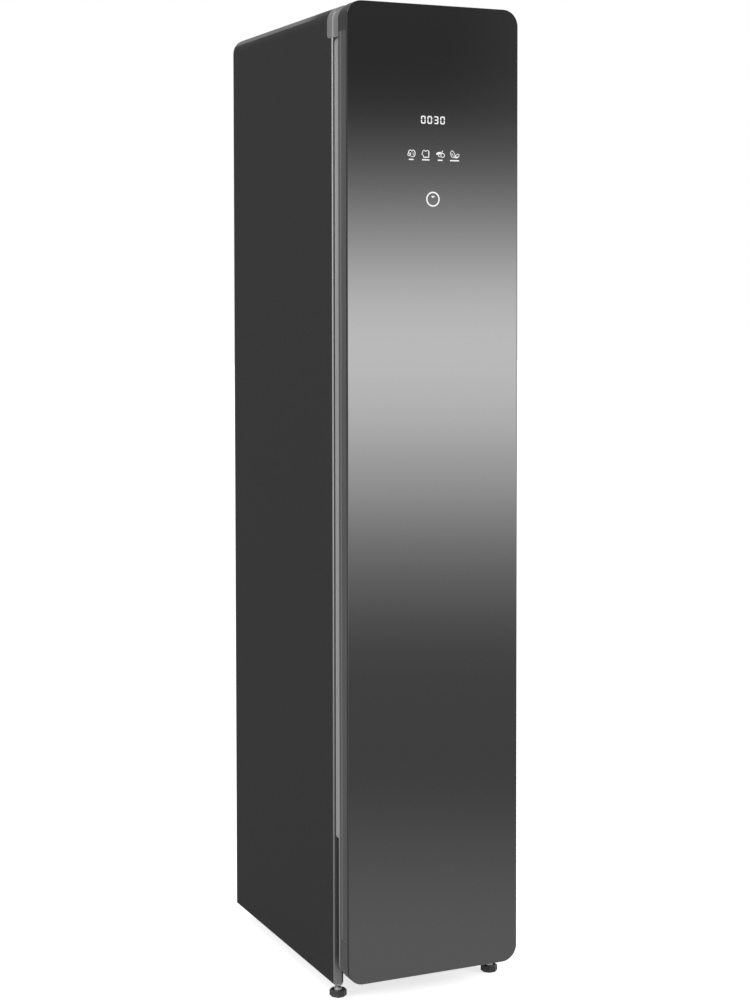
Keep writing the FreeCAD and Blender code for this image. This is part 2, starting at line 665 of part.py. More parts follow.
d.add(shelf_half=145, shelf_front=-176, shelf_rear=220, shelf_thick=9, shelf_rim=11, shelf_corner=10)
d.add(shelf_bar=5, shelf_pitch=18, stay_front=16, stay_rear=26)
SHELF_BARS = 14
shelf = new_body("shelf")
shelf_low = d.ledge_top + d.seat_gap
inside = d.shelf_half - d.shelf_rim
pad(shelf, "XY", [rectangle(-d.shelf_half, d.shelf_half, d.shelf_front, d.shelf_rear, d.shelf_corner),
                  rectangle(-inside, inside, d.shelf_front + d.shelf_rim, d.shelf_rear - d.shelf_rim)],
    shelf_low, shelf_low + d.shelf_thick)
first = -d.shelf_pitch * (SHELF_BARS - 1) / 2
bar = pad(shelf, "XY", [rectangle(first - d.shelf_bar / 2, first + d.shelf_bar / 2,
                                  d.shelf_front + 5, d.shelf_rear - 5)], shelf_low + 2, shelf_low + 7)
row(shelf, [bar], "X", d.shelf_pitch * (SHELF_BARS - 1), SHELF_BARS)
pad(shelf, "XY", [rectangle(-inside, inside, d.stay_front, d.stay_rear)], shelf_low + 1, shelf_low + 5)
keep(shelf, "shelf")


# ---------------------------------------------------------------- shaking hanger

# A flat gear motor turns a crank pin in the cross slot of a carriage, which slides on two rods and carries
# the hanger bar on two posts through the chamber's ceiling.
d.add(bracket_half=130, bracket_depth=48, bracket_gauge=2, cheek_gauge=4, cheek_depth=36, cheek_height=34)
d.add(rod_radius=4, rod_offset=28, rod_rise=22, bridge_rise=43, bridge_half=26, bridge_leg=3, shaft_hole=8)
d.add(carriage_half=94, carriage_depth=35, carriage_low=12, carriage_high=31, carriage_corner=8)
d.add(window_near=22, window_far=58, window_half=16, yoke_front=3, yoke_rear=20)
d.add(crank_throw=14, pin_radius=3, pin_play=0.8, crank_disc_radius=20, crank_shaft_radius=3.5)
d.add(bar_half=120, bar_depth=18, bar_low=1704, bar_high=1728, notch_radius=5, notch_pitch=30)
d.add(motor_radius=25, motor_height=20, motor_edge=2)
NOTCHES = 5

deck = CEILING + WALL
rod_z = deck + d.rod_rise
bridge_z = deck + d.bridge_rise

bracket = new_body("drive_bracket")
pad(bracket, "XY", [rectangle(-d.bracket_half, d.bracket_half, -d.bracket_depth, d.bracket_depth),
                    *post_slots(d.post_depth / 2 + d.post_clearance)], deck, deck + d.bracket_gauge)
for s in (-1, 1):
    outer, inner = d.bracket_half * s, (d.bracket_half - d.cheek_gauge) * s
    ends = (outer, inner) if s < 0 else (inner, outer)
    holes = [circle(d.rod_offset * r, rod_z, d.rod_radius) for r in (-1, 1)]
    crest = deck + d.cheek_height
    cheek = [(-d.cheek_depth, deck), (d.cheek_depth, deck), (d.cheek_depth, crest, as_size(8)),
             (-d.cheek_depth, crest, as_size(8))]
    pad(bracket, "YZ", [cheek, *holes], *ends)
leg_out = d.bracket_depth - 3
leg_in = leg_out - d.bridge_leg
portal = [(-leg_out, deck), (-leg_in, deck), (-leg_in, bridge_z - 2), (leg_in, bridge_z - 2), (leg_in, deck),
          (leg_out, deck), (leg_out, bridge_z, as_size(3)), (-leg_out, bridge_z, as_size(3))]
pad(bracket, "YZ", [portal], -d.bridge_half, d.bridge_half)
pocket(bracket, "XY", [circle(as_size(0), as_size(0), d.shaft_hole)], bridge_z - 2, bridge_z)
keep(bracket, "drive_bracket")

group("guide_rods", [cylinder(f"guide_rod_{tag}", (-d.bracket_half, d.rod_offset * s, rod_z), d.rod_radius,
                              d.bracket_half * 2, "X") for s, tag in ((-1, "front"), (1, "rear"))])

carriage = new_body("hanger_carriage")
low, high = deck + d.carriage_low, deck + d.carriage_high
pad(carriage, "XY", [rectangle(-d.carriage_half, d.carriage_half, -d.carriage_depth, d.carriage_depth,
                               d.carriage_corner)], low, high)
pocket(carriage, "YZ", [circle(d.rod_offset * s, rod_z, d.rod_radius + d.running_fit) for s in (-1, 1)],
       -d.carriage_half, d.carriage_half)
slot_side = d.pin_radius + d.pin_play
pocket(carriage, "XY", [rectangle(-slot_side, slot_side, d.yoke_front, d.yoke_rear, as_size(3.5))], low, high)
# lightening windows between the slot and the posts
pocket(carriage, "XY", [rectangle(-d.window_far, -d.window_near, -d.window_half, d.window_half),
                        rectangle(d.window_near, d.window_far, -d.window_half, d.window_half)], low + 5, high)
posts = [rectangle(d.post_spacing * s - d.post_width / 2, d.post_spacing * s + d.post_width / 2,
                   -d.post_depth / 2, d.post_depth / 2, as_size(2)) for s in (-1, 1)]
pad(carriage, "XY", posts, d.bar_high, low)
keep(carriage, "hanger_carriage")

bar = new_body("hanger_bar")
pad(bar, "XZ", [rectangle(-d.bar_half, d.bar_half, d.bar_low, d.bar_high, as_size(5))],
    -d.bar_depth / 2, d.bar_depth / 2)
first = -d.notch_pitch * (NOTCHES - 1) / 2
saddle = pocket(bar, "XZ", [circle(first, d.bar_high, d.notch_radius)], -d.bar_depth / 2, d.bar_depth / 2)
row(bar, [saddle], "X", d.notch_pitch * (NOTCHES - 1), NOTCHES)
keep(bar, "hanger_bar")

crank = new_body("crank_disc")
disc_low, disc_high = high + 3, high + 7
pad(crank, "XY", [circle(as_size(0), as_size(0), d.crank_disc_radius)], disc_low, disc_high)
pad(crank, "XY", [circle(as_size(0), d.crank_throw, d.pin_radius)], low + 4, disc_low)
pad(crank, "XY", [circle(as_size(0), as_size(0), d.crank_shaft_radius)], disc_high, bridge_z + 6)
keep(crank, "crank_disc")

motor = new_body("hanger_motor")
bore, crown_z = d.crank_shaft_radius + d.running_fit, bridge_z + d.motor_height
turned(motor, as_size(0), as_size(0),
       [(bore, bridge_z), (d.motor_radius, bridge_z), (d.motor_radius, crown_z - d.motor_edge),
        (d.motor_radius - d.motor_edge, crown_z), (0, crown_z), (0, bridge_z + 8), (bore, bridge_z + 8)])
keep(motor, "hanger_motor")


# ---------------------------------------------------------------- tank bay and the two water tanks

d.add(bay_half=129, bay_low=64, bay_high=298, bay_rear=-66, bay_wall=3, divider_half=3)
d.add(valve_z=88, valve_radius=9, tank_foot_edge=4, tank_front_edge=1.5, grip_corner=8)
d.add(tank_side_gap=3, tank_low=67.4, tank_high=286, tank_rear=-76, tank_front=-232, tank_front_gauge=14)
d.add(tank_wall=2.5, tank_radius=10, lid_gauge=3.5, grip_low=226, grip_high=262, grip_half=42, grip_depth=10)
d.add(cap_radius=19, cap_rise=3, spout_radius=7)

bay = new_body("tank_bay")
bay_outer = d.bay_half + d.bay_wall
pad(bay, "XZ", [rectangle(-bay_outer, bay_outer, d.bay_low, d.bay_high)], FACE, d.bay_rear)
seal_flange(bay, d.tray_floor + d.tray_height + 0.5, d.seal_low - 0.3)
cells = [rectangle(-d.bay_half, -d.divider_half, d.bay_low + d.bay_wall, d.bay_high - d.bay_wall),
         rectangle(d.divider_half, d.bay_half, d.bay_low + d.bay_wall, d.bay_high - d.bay_wall)]
pocket(bay, "XZ", cells, FACE, d.bay_rear - d.bay_wall)
mid_bay = (d.bay_half + d.divider_half) / 2
pocket(bay, "XZ", [circle(mid_bay * s, d.valve_z, d.valve_radius) for s in (-1, 1)],
       d.bay_rear - d.bay_wall, d.bay_rear)
keep(bay, "tank_bay")


def water_tank(name, side):
    """Clear vessel open at the top, lid with a screw cap, and a front plate with a finger recess."""
    near_x, far_x = (d.divider_half + d.tank_side_gap), (d.bay_half - d.tank_side_gap)
    left, right = (near_x, far_x) if side > 0 else (-far_x, -near_x)
    middle = (left + right) / 2
    front_rear = d.tank_front + d.tank_front_gauge
    wall = d.tank_wall
    footprint = rectangle(left, right, front_rear, d.tank_rear, d.tank_radius)
    vessel = new_body(f"{name}_vessel")
    pad(vessel, "XY", [footprint], d.tank_low, d.tank_high)
    soften(vessel, d.tank_foot_edge, lambda b: flat_on(b, "Z", d.tank_low), kind="Chamfer")
    pocket(vessel, "XY", [rectangle(left + wall, right - wall, front_rear + wall, d.tank_rear - wall,
                                    d.tank_radius - wall)], d.tank_low + wall, d.tank_high)
    pad(vessel, "XZ", [circle(middle, d.valve_z, d.spout_radius)], d.tank_rear - 1, d.tank_rear + 5)
    keep(vessel, f"{name}_vessel")

    plate = new_body(f"{name}_front")
    corner = d.grip_corner
    pad(plate, "XZ", [rectangle(left, right, d.tank_low, d.tank_high + 6, corner)], d.tank_front, front_rear)
    soften(plate, d.tank_front_edge, lambda b: flat_on(b, "Y", d.tank_front), kind="Chamfer")
    grip = rectangle(middle - d.grip_half, middle + d.grip_half, d.grip_low, d.grip_high, corner)
    pocket(plate, "XZ", [grip], d.tank_front, d.tank_front + d.grip_depth)
    keep(plate, f"{name}_front")

    lid = new_body(f"{name}_lid")
    lid_top = d.tank_high + d.lid_gauge
    pad(lid, "XY", [footprint], d.tank_high, lid_top)
    cap_y = (front_rear + d.tank_rear) / 2
    pad(lid, "XY", [circle(middle, cap_y, d.cap_radius)], lid_top, lid_top + d.cap_rise)
    keep(lid, f"{name}_lid")


water_tank("fresh_tank", -1)
water_tank("waste_tank", 1)


# ---------------------------------------------------------------- fan, duct, steam, pumps, board, inlet

d.add(scroll_low=205, scroll_high=285, scroll_wall=2, fan_inlet=40, scroll_left=-147, scroll_front=118)
d.add(scroll_rear=272, scroll_right=-8, outlet_front=216, outlet_x=12)
d.add(wheel_radius=50, wheel_low=213, wheel_high=268, blade_length=10, blade_thick=1.6, wheel_shaft=4)
d.add(fan_motor_radius=32, fan_motor_low=128, fan_motor_edge=5, fan_motor_post=18)
d.add(fin_low=240, fin_high=276, fin_left=34, fin_gauge=1.2, fin_pitch=8)
FINS = 13
BLADES = 24


def volute(inset):
    """Scroll outline with a growing radius, and the outlet towards +X."""
    left, front, rear = d.scroll_left + inset, d.scroll_front + inset, d.scroll_rear - inset
    return [(left, front, 62 - inset), (d.scroll_right - inset, front, 56 - inset),
            (d.scroll_right - inset, d.outlet_front + inset), (d.outlet_x, d.outlet_front + inset),
            (d.outlet_x, rear), (left, rear, 72 - inset)]


fan_housing = new_body("fan_housing")
wall = d.scroll_wall
pad(fan_housing, "XY", [volute(as_size(0))], d.scroll_low, d.scroll_high)
pocket(fan_housing, "XY", [volute(wall)], d.scroll_low + wall, d.scroll_high - wall)
pocket(fan_housing, "XY", [circle(d.fan_x, d.fan_y, d.fan_inlet)], d.scroll_high - wall, d.scroll_high)
pocket(fan_housing, "XY", [circle(d.fan_x, d.fan_y, as_size(7))], d.scroll_low, d.scroll_low + wall)
keep(fan_housing, "fan_housing")

wheel = new_body("fan_wheel")
pad(wheel, "XY", [circle(0, 0, d.wheel_radius)], d.wheel_low, d.wheel_low + 2, (d.fan_x, d.fan_y))
pad(wheel, "XY", [circle(0, 0, as_size(12))], d.wheel_low + 2, d.wheel_low + 22, (d.fan_x, d.fan_y))
pad(wheel, "XY", [circle(0, 0, d.wheel_shaft)], d.fan_motor_low + 50, d.wheel_low, (d.fan_x, d.fan_y))
root, tip = d.wheel_radius - d.blade_length, d.wheel_radius - 0.5
blade_outline = [(root, -d.blade_thick / 2), (tip, as_size(2.2)), (tip - 0.3, 2.2 + d.blade_thick),
                 (root, d.blade_thick / 2)]
blade = pad(wheel, "XY", [blade_outline], d.wheel_low + 2, d.wheel_high - 3, (d.fan_x, d.fan_y))
ring(wheel, [blade], blade.Profile[0], BLADES)
pad(wheel, "XY", [circle(0, 0, d.wheel_radius), circle(0, 0, root + 1)], d.wheel_high - 3, d.wheel_high,
    (d.fan_x, d.fan_y))
keep(wheel, "fan_wheel")

fan_motor = new_body("fan_motor")
motor_top = d.scroll_low
bore = d.wheel_shaft + d.running_fit
turned(fan_motor, d.fan_x, d.fan_y,
       [(0, d.fan_motor_low), (d.fan_motor_radius - d.fan_motor_edge, d.fan_motor_low),
        (d.fan_motor_radius, d.fan_motor_low + d.fan_motor_edge), (d.fan_motor_radius, motor_top - 4),
        (d.fan_motor_radius + 8, motor_top - 4), (d.fan_motor_radius + 8, motor_top), (bore, motor_top),
        (bore, motor_top - 32), (0, motor_top - 32)])
pad(fan_motor, "XY", [circle(d.fan_x, d.fan_y, d.fan_motor_post)],
    d.tray_floor + d.tray_gauge, d.fan_motor_low)
keep(fan_motor, "fan_motor")

duct = new_body("heater_duct")
duct_left = d.outlet_x + 0.2
pad(duct, "XY", [rectangle(duct_left, d.duct_right + 2, d.duct_front - 3, d.scroll_rear)],
    d.scroll_low, d.chamber_floor - WALL)
pocket(duct, "XY", [rectangle(duct_left + wall, d.duct_right, d.duct_front - 1, d.scroll_rear - wall)],
       d.scroll_low + wall, d.chamber_floor - WALL - 6)
pocket(duct, "XY", [rectangle(duct_left + wall + 4, d.duct_right - 4, d.duct_front + 4, d.duct_rear - 2)],
       d.chamber_floor - WALL - 7, d.chamber_floor - WALL)
pocket(duct, "YZ", [rectangle(d.outlet_front + wall, d.scroll_rear - wall, d.scroll_low + wall,
                              d.scroll_high - wall)], duct_left, duct_left + wall)
fin = pad(duct, "YZ", [rectangle(d.duct_front - 1, d.scroll_rear - wall, d.fin_low, d.fin_high)],
          d.fin_left, d.fin_left + d.fin_gauge)
row(duct, [fin], "X", d.fin_pitch * (FINS - 1), FINS)
keep(duct, "heater_duct")

d.add(boiler_radius=40, boiler_foot=26, boiler_low=62, boiler_high=172, seam_low=112, seam_lip=7)
d.add(seam_height=8, boiler_shoulder=12, hose_radius=8.5)
boiler = new_body("steam_generator")
foot_z, seam_high = d.tray_floor + d.tray_gauge, d.seam_low + d.seam_height
shoulder, seam_out = d.boiler_high - d.boiler_shoulder, d.boiler_radius + d.seam_lip
turned(boiler, d.nozzle_x, d.nozzle_y,
       [(0, foot_z), (d.boiler_foot, foot_z), (d.boiler_foot, d.boiler_low), (d.boiler_radius, d.boiler_low),
        (d.boiler_radius, d.seam_low), (seam_out, d.seam_low), (seam_out, seam_high),
        (d.boiler_radius, seam_high), (d.boiler_radius, shoulder),
        (d.boiler_radius - d.boiler_shoulder, d.boiler_high), (d.spigot_radius, d.boiler_high),
        (d.spigot_radius, d.boiler_high + 22), (0, d.boiler_high + 22)])
keep(boiler, "steam_generator")

hose = new_body("steam_hose")
pad(hose, "XY", [circle(d.nozzle_x, d.nozzle_y, r) for r in (d.hose_radius, d.spigot_radius)],
    d.boiler_high + 6, d.floor_top - 14)
keep(hose, "steam_hose")

d.add(pump_radius=17, pump_low=50, pump_head=22, pump_foot=14, pump_rear=24, pump_front=-20)
d.add(supply_pump_x=10, drain_pump_x=-70, spout=5, spout_front=-44)
pumps = []
for tag, x in (("supply", d.supply_pump_x), ("drain", d.drain_pump_x)):
    pump = new_body(f"pump_{tag}")
    pump_z = d.pump_low + d.pump_radius + 4
    pad(pump, "XZ", [circle(x, pump_z, d.pump_radius)], d.pump_front, d.pump_rear)
    head = rectangle(x - d.pump_head, x + d.pump_head, pump_z - d.pump_foot, pump_z + d.pump_foot)
    pad(pump, "XZ", [head], d.pump_rear, d.pump_rear + 16)
    pad(pump, "XZ", [circle(x, pump_z, d.spout)], d.spout_front, d.pump_front)
    pad(pump, "XY", [rectangle(x - d.pump_foot, x + d.pump_foot, -d.pump_foot, d.pump_rear + 14)],
        d.tray_floor + d.tray_gauge, pump_z - 8)
    pumps.append(pump)
group("water_pumps", pumps)

d.add(board_low=84, board_high=250, board_front=-40, board_rear=86, tray_skin=3, chip_rise=13, coil_rise=21)
board = new_body("control_board")
tray_x = GAUGE - SIDE
part_x = tray_x + d.tray_skin
pad(board, "YZ", [rectangle(d.board_front, d.board_rear, d.board_low, d.board_high)], tray_x, part_x)
# distances from the board's lower front corner: relays, transformer, power stage; then the capacitors
CHIPS = ((8, 34, 16, 46), (44, 60, 16, 40), (10, 60, 76, 102), (70, 112, 66, 112))
COILS = ((84, 34, 11), (24, 132, 9), (50, 132, 9))
pad(board, "YZ", [rectangle(d.board_front + y0, d.board_front + y1, d.board_low + z0, d.board_low + z1)
                  for y0, y1, z0, z1 in CHIPS], part_x, part_x + d.chip_rise)
pad(board, "YZ", [circle(d.board_front + y, d.board_low + z, as_size(radius)) for y, z, radius in COILS],
    part_x, part_x + d.coil_rise)
keep(board, "control_board")

d.add(inlet_fit=0.5, inlet_depth=30, inlet_rim=4, inlet_rim_gauge=2.5)
d.add(socket_half=19, socket_rise=11, socket_depth=20, pin_pitch=8, pin_half=1, pin_length=16)


def around_inlet(half, rise, corner):
    return rectangle(d.inlet_x - half, d.inlet_x + half, d.inlet_z - rise, d.inlet_z + rise, as_size(corner))


inlet = new_body("power_inlet")
half, rise = inlet_half - d.inlet_fit, inlet_rise - d.inlet_fit
pad(inlet, "XZ", [around_inlet(half, rise, 2.5)], REAR - d.inlet_depth, REAR)
pad(inlet, "XZ", [around_inlet(half + d.inlet_rim, rise + d.inlet_rim, 4)],
    BACK - GAUGE - d.inlet_rim_gauge, BACK - GAUGE)
pocket(inlet, "XZ", [around_inlet(d.socket_half, d.socket_rise, 3)], REAR - d.socket_depth, REAR)
pins = [rectangle(d.inlet_x + d.pin_pitch * k - d.pin_half, d.inlet_x + d.pin_pitch * k + d.pin_half,
                  d.inlet_z - 5, d.inlet_z) for k in (-1, 0, 1)]
pad(inlet, "XZ", pins, REAR - d.socket_depth - 1, REAR - d.socket_depth - 1 + d.pin_length)
keep(inlet, "power_inlet")


# ---------------------------------------------------------------- door

# depths from the glass face to the rear of the frame, of its step and of the inner liner's flange
d.add(glass_gauge=4, glass_chamfer=0.6, frame_depth=32, step_depth=43, liner_depth=50)
d.add(frame_width=25, frame_top=24, top_cap_leg=54, bottom_cap_leg=80, step_inset=1.5, rim_inset=7.5)
d.add(hinge_x=161, hinge_y=-278, pocket_height=15, pocket_rise=12, pocket_ahead=16.5, pocket_inward=9)
d.add(bush_length=10, bush_radius=6, pivot_radius=4)
d.add(liner_skin=3, liner_inset=2, liner_shoulder=1784, liner_top_inset=6.4)

DOOR_LOW = d.door_lower_edge
GLASS_BACK = FRONT + d.glass_gauge
FRAME_BACK = FRONT + d.frame_depth
STEP_BACK = FRONT + d.step_depth
LINER_BACK = FRONT + d.liner_depth
SKIN_FRONT = LINER_BACK - d.liner_skin
IN_SIDE = SIDE - d.frame_width
IN_TOP, IN_LOW = TOP - d.frame_top, DOOR_LOW + d.frame_top
CAP_FOOT, CAP_HEAD = TOP - d.top_cap_leg, DOOR_LOW + d.bottom_cap_leg

glass = new_body("door_glass")
pad(glass, "XZ", [rectangle(-SIDE, SIDE, DOOR_LOW, TOP, d.corner_radius)], FRONT, GLASS_BACK)
soften(glass, d.glass_chamfer, lambda b: flat_on(b, "Y", FRONT), kind="Chamfer")
keep(glass, "door_glass")


def hinge_pocket(body, pocket_low):
    """The slot in which the hinge's tongue stands, open to the rear and to the side."""
    slot = rectangle(d.hinge_x - d.pocket_inward, SIDE + 1, d.hinge_y - d.pocket_ahead, LINER_BACK + 1)
    pocket(body, "XY", [slot], pocket_low, pocket_low + d.pocket_height)


def door_cap(label, edge, foot, inner, side, pocket_low):
    """A U-shaped moulding across the door's end: side is 1 at the top and -1 at the bottom."""
    body = new_body(label)

    def u_shape(inset, width):
        out, end, radius = SIDE - inset, edge - inset * side, d.corner_radius - inset
        return [(-out, foot), (-out, end, radius), (out, end, radius), (out, foot),
                (width, foot), (width, inner), (-width, inner), (-width, foot)]

    pad(body, "XZ", [u_shape(as_size(0), IN_SIDE)], GLASS_BACK, FRAME_BACK)
    soften(body, 1, lambda b: flat_on(b, "Y", FRAME_BACK) and (
        near(max(abs(b.XMin), abs(b.XMax)), SIDE) or flat_on(b, "Z", edge)), kind="Chamfer")
    pad(body, "XZ", [u_shape(d.step_inset, IN_SIDE)], FRAME_BACK - 1, STEP_BACK)
    pad(body, "XZ", [u_shape(d.rim_inset, IN_SIDE)], STEP_BACK - 1, SKIN_FRONT)
    bush_low, bush_top = pocket_low - d.bush_length, pocket_low + d.pocket_height + d.bush_length
    pocket(body, "XY", [circle(d.hinge_x, d.hinge_y, d.bush_radius)], bush_low, bush_top)
    hinge_pocket(body, pocket_low)
    return keep(body, label)


TOP_POCKET = CAP_FOOT + d.pocket_rise
LOW_POCKET = CAP_HEAD - d.pocket_rise - d.pocket_height
door_cap("door_top_cap", TOP, CAP_FOOT, IN_TOP, 1, TOP_POCKET)
door_cap("door_bottom_cap", DOOR_LOW, CAP_HEAD, IN_LOW, -1, LOW_POCKET)

d.add(lip_bead=1.4)
for side, tag in ((-1, "left"), (1, "right")):
    step_out, rim_out = SIDE - d.step_inset, SIDE - d.rim_inset
    corners = [(IN_SIDE, GLASS_BACK), (SIDE, GLASS_BACK), (SIDE, FRAME_BACK, d.lip_bead),
               (step_out, FRAME_BACK), (step_out, STEP_BACK), (rim_out, STEP_BACK), (rim_out, SKIN_FRONT),
               (IN_SIDE, SKIN_FRONT)]
    profile = new_body(f"door_profile_{tag}")
    loop = [(corner[0] * side, *corner[1:]) for corner in corners]
    pad(profile, "XY", [loop], CAP_HEAD, CAP_FOOT)
    keep(profile, f"door_profile_{tag}")

d.add(plinth_half=130, plinth_low=334, plinth_top=1758, plinth_depth=18, plinth_radius=16, plinth_edge=5)
d.add(liner_edge=2.8)
d.add(board_half=58, board_bottom=1474, board_top=1672, board_thick=5)
PLINTH_BACK = LINER_BACK + d.plinth_depth
door_liner = new_body("door_inner_liner")


def liner_outline():
    """Follows the door's outline, and steps in above the shoulders to pass inside the corner caps' lips."""
    side, low, radius = SIDE - d.liner_inset, DOOR_LOW + d.liner_inset, d.corner_radius - d.liner_inset
    narrow, high = SIDE - d.liner_top_inset, TOP - d.liner_top_inset
    shoulder, neck, top_radius = d.liner_shoulder, d.liner_shoulder + 4, d.corner_radius - d.liner_top_inset
    return [(-side, low, radius), (side, low, radius), (side, shoulder), (narrow, neck),
            (narrow, high, top_radius), (-narrow, high, top_radius), (-narrow, neck), (-side, shoulder)]


pad(door_liner, "XZ", [liner_outline()], SKIN_FRONT, LINER_BACK)
soften(door_liner, d.liner_edge, lambda b: flat_on(b, "Y", LINER_BACK))
# a rim goes forward round the frame's edge
rim_out = SIDE - d.rim_inset
rim_low, rim_top = DOOR_LOW + d.rim_inset, TOP - d.rim_inset
pad(door_liner, "XZ", [liner_outline(),
                       rectangle(-rim_out, rim_out, rim_low, rim_top, d.corner_radius - d.rim_inset)],
    STEP_BACK, SKIN_FRONT)
pad(door_liner, "XZ", [rectangle(-d.plinth_half, d.plinth_half, d.plinth_low, d.plinth_top, d.plinth_radius)],
    LINER_BACK - 1, PLINTH_BACK)
soften(door_liner, d.plinth_edge, lambda b: flat_on(b, "Y", PLINTH_BACK), kind="Chamfer")
hollow = d.plinth_half - d.liner_skin
plinth_core = rectangle(-hollow, hollow, d.plinth_low + d.liner_skin, d.plinth_top - d.liner_skin,
                        d.plinth_radius - d.liner_skin)
core_back = PLINTH_BACK - d.liner_skin - 4
pocket(door_liner, "XZ", [plinth_core], SKIN_FRONT, core_back)
for pocket_low in (TOP_POCKET, LOW_POCKET):
    hinge_pocket(door_liner, pocket_low)
keep(door_liner, "door_inner_liner")

core = new_body("door_foam")
inside_frame = rectangle(-IN_SIDE, IN_SIDE, IN_LOW, IN_TOP)
board_outline = rectangle(-d.board_half, d.board_half, d.board_bottom, d.board_top)
pad(core, "XZ", [inside_frame, board_outline], GLASS_BACK, GLASS_BACK + d.board_thick)
pad(core, "XZ", [inside_frame], GLASS_BACK + d.board_thick, SKIN_FRONT)
pad(core, "XZ", [plinth_core], SKIN_FRONT, core_back)
keep(core, "door_foam")

# light boxes behind the clock, the signs and the touch ring
d.add(clock_height=1640, clock_half=30, clock_rise=13, ring_height=1495, ring_radius=15)
d.add(sign_height=1578, sign_half=56, sign_drop=16, sign_rise=10, light_box=2.6)
display = new_body("display_board")
box_back = GLASS_BACK + d.light_box
pad(display, "XZ", [board_outline], box_back, GLASS_BACK + d.board_thick)
pad(display, "XZ", [rectangle(-d.clock_half, d.clock_half, d.clock_height - d.clock_rise,
                              d.clock_height + d.clock_rise),
                    rectangle(-d.sign_half, d.sign_half, d.sign_height - d.sign_drop,
                              d.sign_height + d.sign_rise),
                    circle(as_size(0), d.ring_height, d.ring_radius)], GLASS_BACK, box_back)
keep(display, "display_board")


# ---------------------------------------------------------------- door gasket

d.add(gasket_half=171, gasket_low=304, gasket_top=1797, gasket_width=14)
d.add(gasket_top_radius=20, gasket_low_radius=8, gasket_gap=0.5, gasket_foot=3, hinge_side_inset=7)
gasket = new_body("door_gasket")


def gasket_loop(inset, right_inset):
    """A rounded rectangle set in from the gasket's edge, further at the hinge so that it clears the face."""
    left, right = inset - d.gasket_half, d.gasket_half - right_inset
    low, top = d.gasket_low + inset, d.gasket_top - inset
    big, small = d.gasket_top_radius - inset, d.gasket_low_radius - inset / 3
    return [(left, low, small), (right, low, small), (right, top, big), (left, top, big)]


nose_front = LINER_BACK + d.gasket_foot
hole = gasket_loop(d.gasket_width, d.gasket_width + d.hinge_side_inset)
pad(gasket, "XZ", [gasket_loop(as_size(0), as_size(0)), hole], LINER_BACK, nose_front)
pad(gasket, "XZ", [gasket_loop(as_size(0), d.hinge_side_inset), hole], nose_front, FACE - d.gasket_gap)
keep(gasket, "door_gasket")


# ---------------------------------------------------------------- door hinges

d.add(tongue_half=7, tongue_gauge=3, plate_reach=21, plate_gauge=2.5, plate_rise=13, pivot_reach=13)


def hinge_bracket(label, pocket_low):
    """A plate screwed to the cabinet front, its tongue and an upright pivot pin."""
    middle = pocket_low + d.pocket_height / 2
    low, high = middle - d.tongue_gauge / 2, middle + d.tongue_gauge / 2
    left, right = d.hinge_x - d.tongue_half, d.hinge_x + d.tongue_half
    body = new_body(label)
    tip, rounding = d.hinge_y - d.tongue_half, d.tongue_half - 0.2
    pad(body, "XY", [[(right, FACE), (left, FACE), (left, tip, rounding), (right, tip, rounding)]], low, high)
    plate = rectangle(d.hinge_x - d.plate_reach, right,
                      middle - d.plate_rise, middle + d.plate_rise, as_size(3))
    pad(body, "XZ", [plate], FACE - d.plate_gauge, FACE)
    pin = circle(d.hinge_x, d.hinge_y, d.pivot_radius)
    pad(body, "XY", [pin], middle - d.pivot_reach, middle + d.pivot_reach)
    return keep(body, label)


hinge_bracket("hinge_bracket_top", TOP_POCKET)
hinge_bracket("hinge_bracket_bottom", LOW_POCKET)

bushes = []
for tag, pocket_low in (("top", TOP_POCKET), ("bottom", LOW_POCKET)):
    for part, foot in (("under", pocket_low - d.bush_length), ("over", pocket_low + d.pocket_height)):
        bush = new_body(f"bush_{tag}_{part}")
        radii = (d.bush_radius, d.pivot_radius + d.running_fit)
        pad(bush, "XY", [circle(d.hinge_x, d.hinge_y, r) for r in radii], foot, foot + d.bush_length)
        bushes.append(bush)
group("hinge_bushes", bushes)


# ---------------------------------------------------------------- trouser press on the inside of the door

d.add(press_low=600, press_top=1420, press_left=-104, press_right=113, press_back_gauge=4)
d.add(press_axis_x=104, press_axis_y=-220, barrel_radius=5, press_pin=3, ear_height=10, ear_half=7, ear_gap=1)
d.add(flap_gauge=5, flap_left=-100, flap_corner=12, flap_slot=9, flap_slot_pitch=39, first_slot=660)
d.add(slot_near=8, slot_far=84, clip_x=50, clip_width=30, clip_low=614, clip_height=26)
FLAP_SLOTS = 18
back_face = PLINTH_BACK + d.press_back_gauge
back_plate = new_body("press_back_plate")
ear_low, ear_top = d.press_low - d.ear_height - d.ear_gap, d.press_top + d.ear_height + d.ear_gap
plate = rectangle(d.press_left, d.press_right, ear_low, ear_top, as_size(8))
pad(back_plate, "XZ", [plate], PLINTH_BACK, back_face)
for low in (ear_low, d.press_top + d.ear_gap):
    left, right, tip = d.press_axis_x - d.ear_half, d.press_axis_x + d.ear_half, d.press_axis_y + d.ear_half
    ear = [(left, back_face), (right, back_face), (right, tip, as_size(6)), (left, tip, as_size(6))]
    pad(back_plate, "XY", [ear, circle(d.press_axis_x, d.press_axis_y, d.press_pin + d.running_fit)],
        low, low + d.ear_height)
keep(back_plate, "press_back_plate")

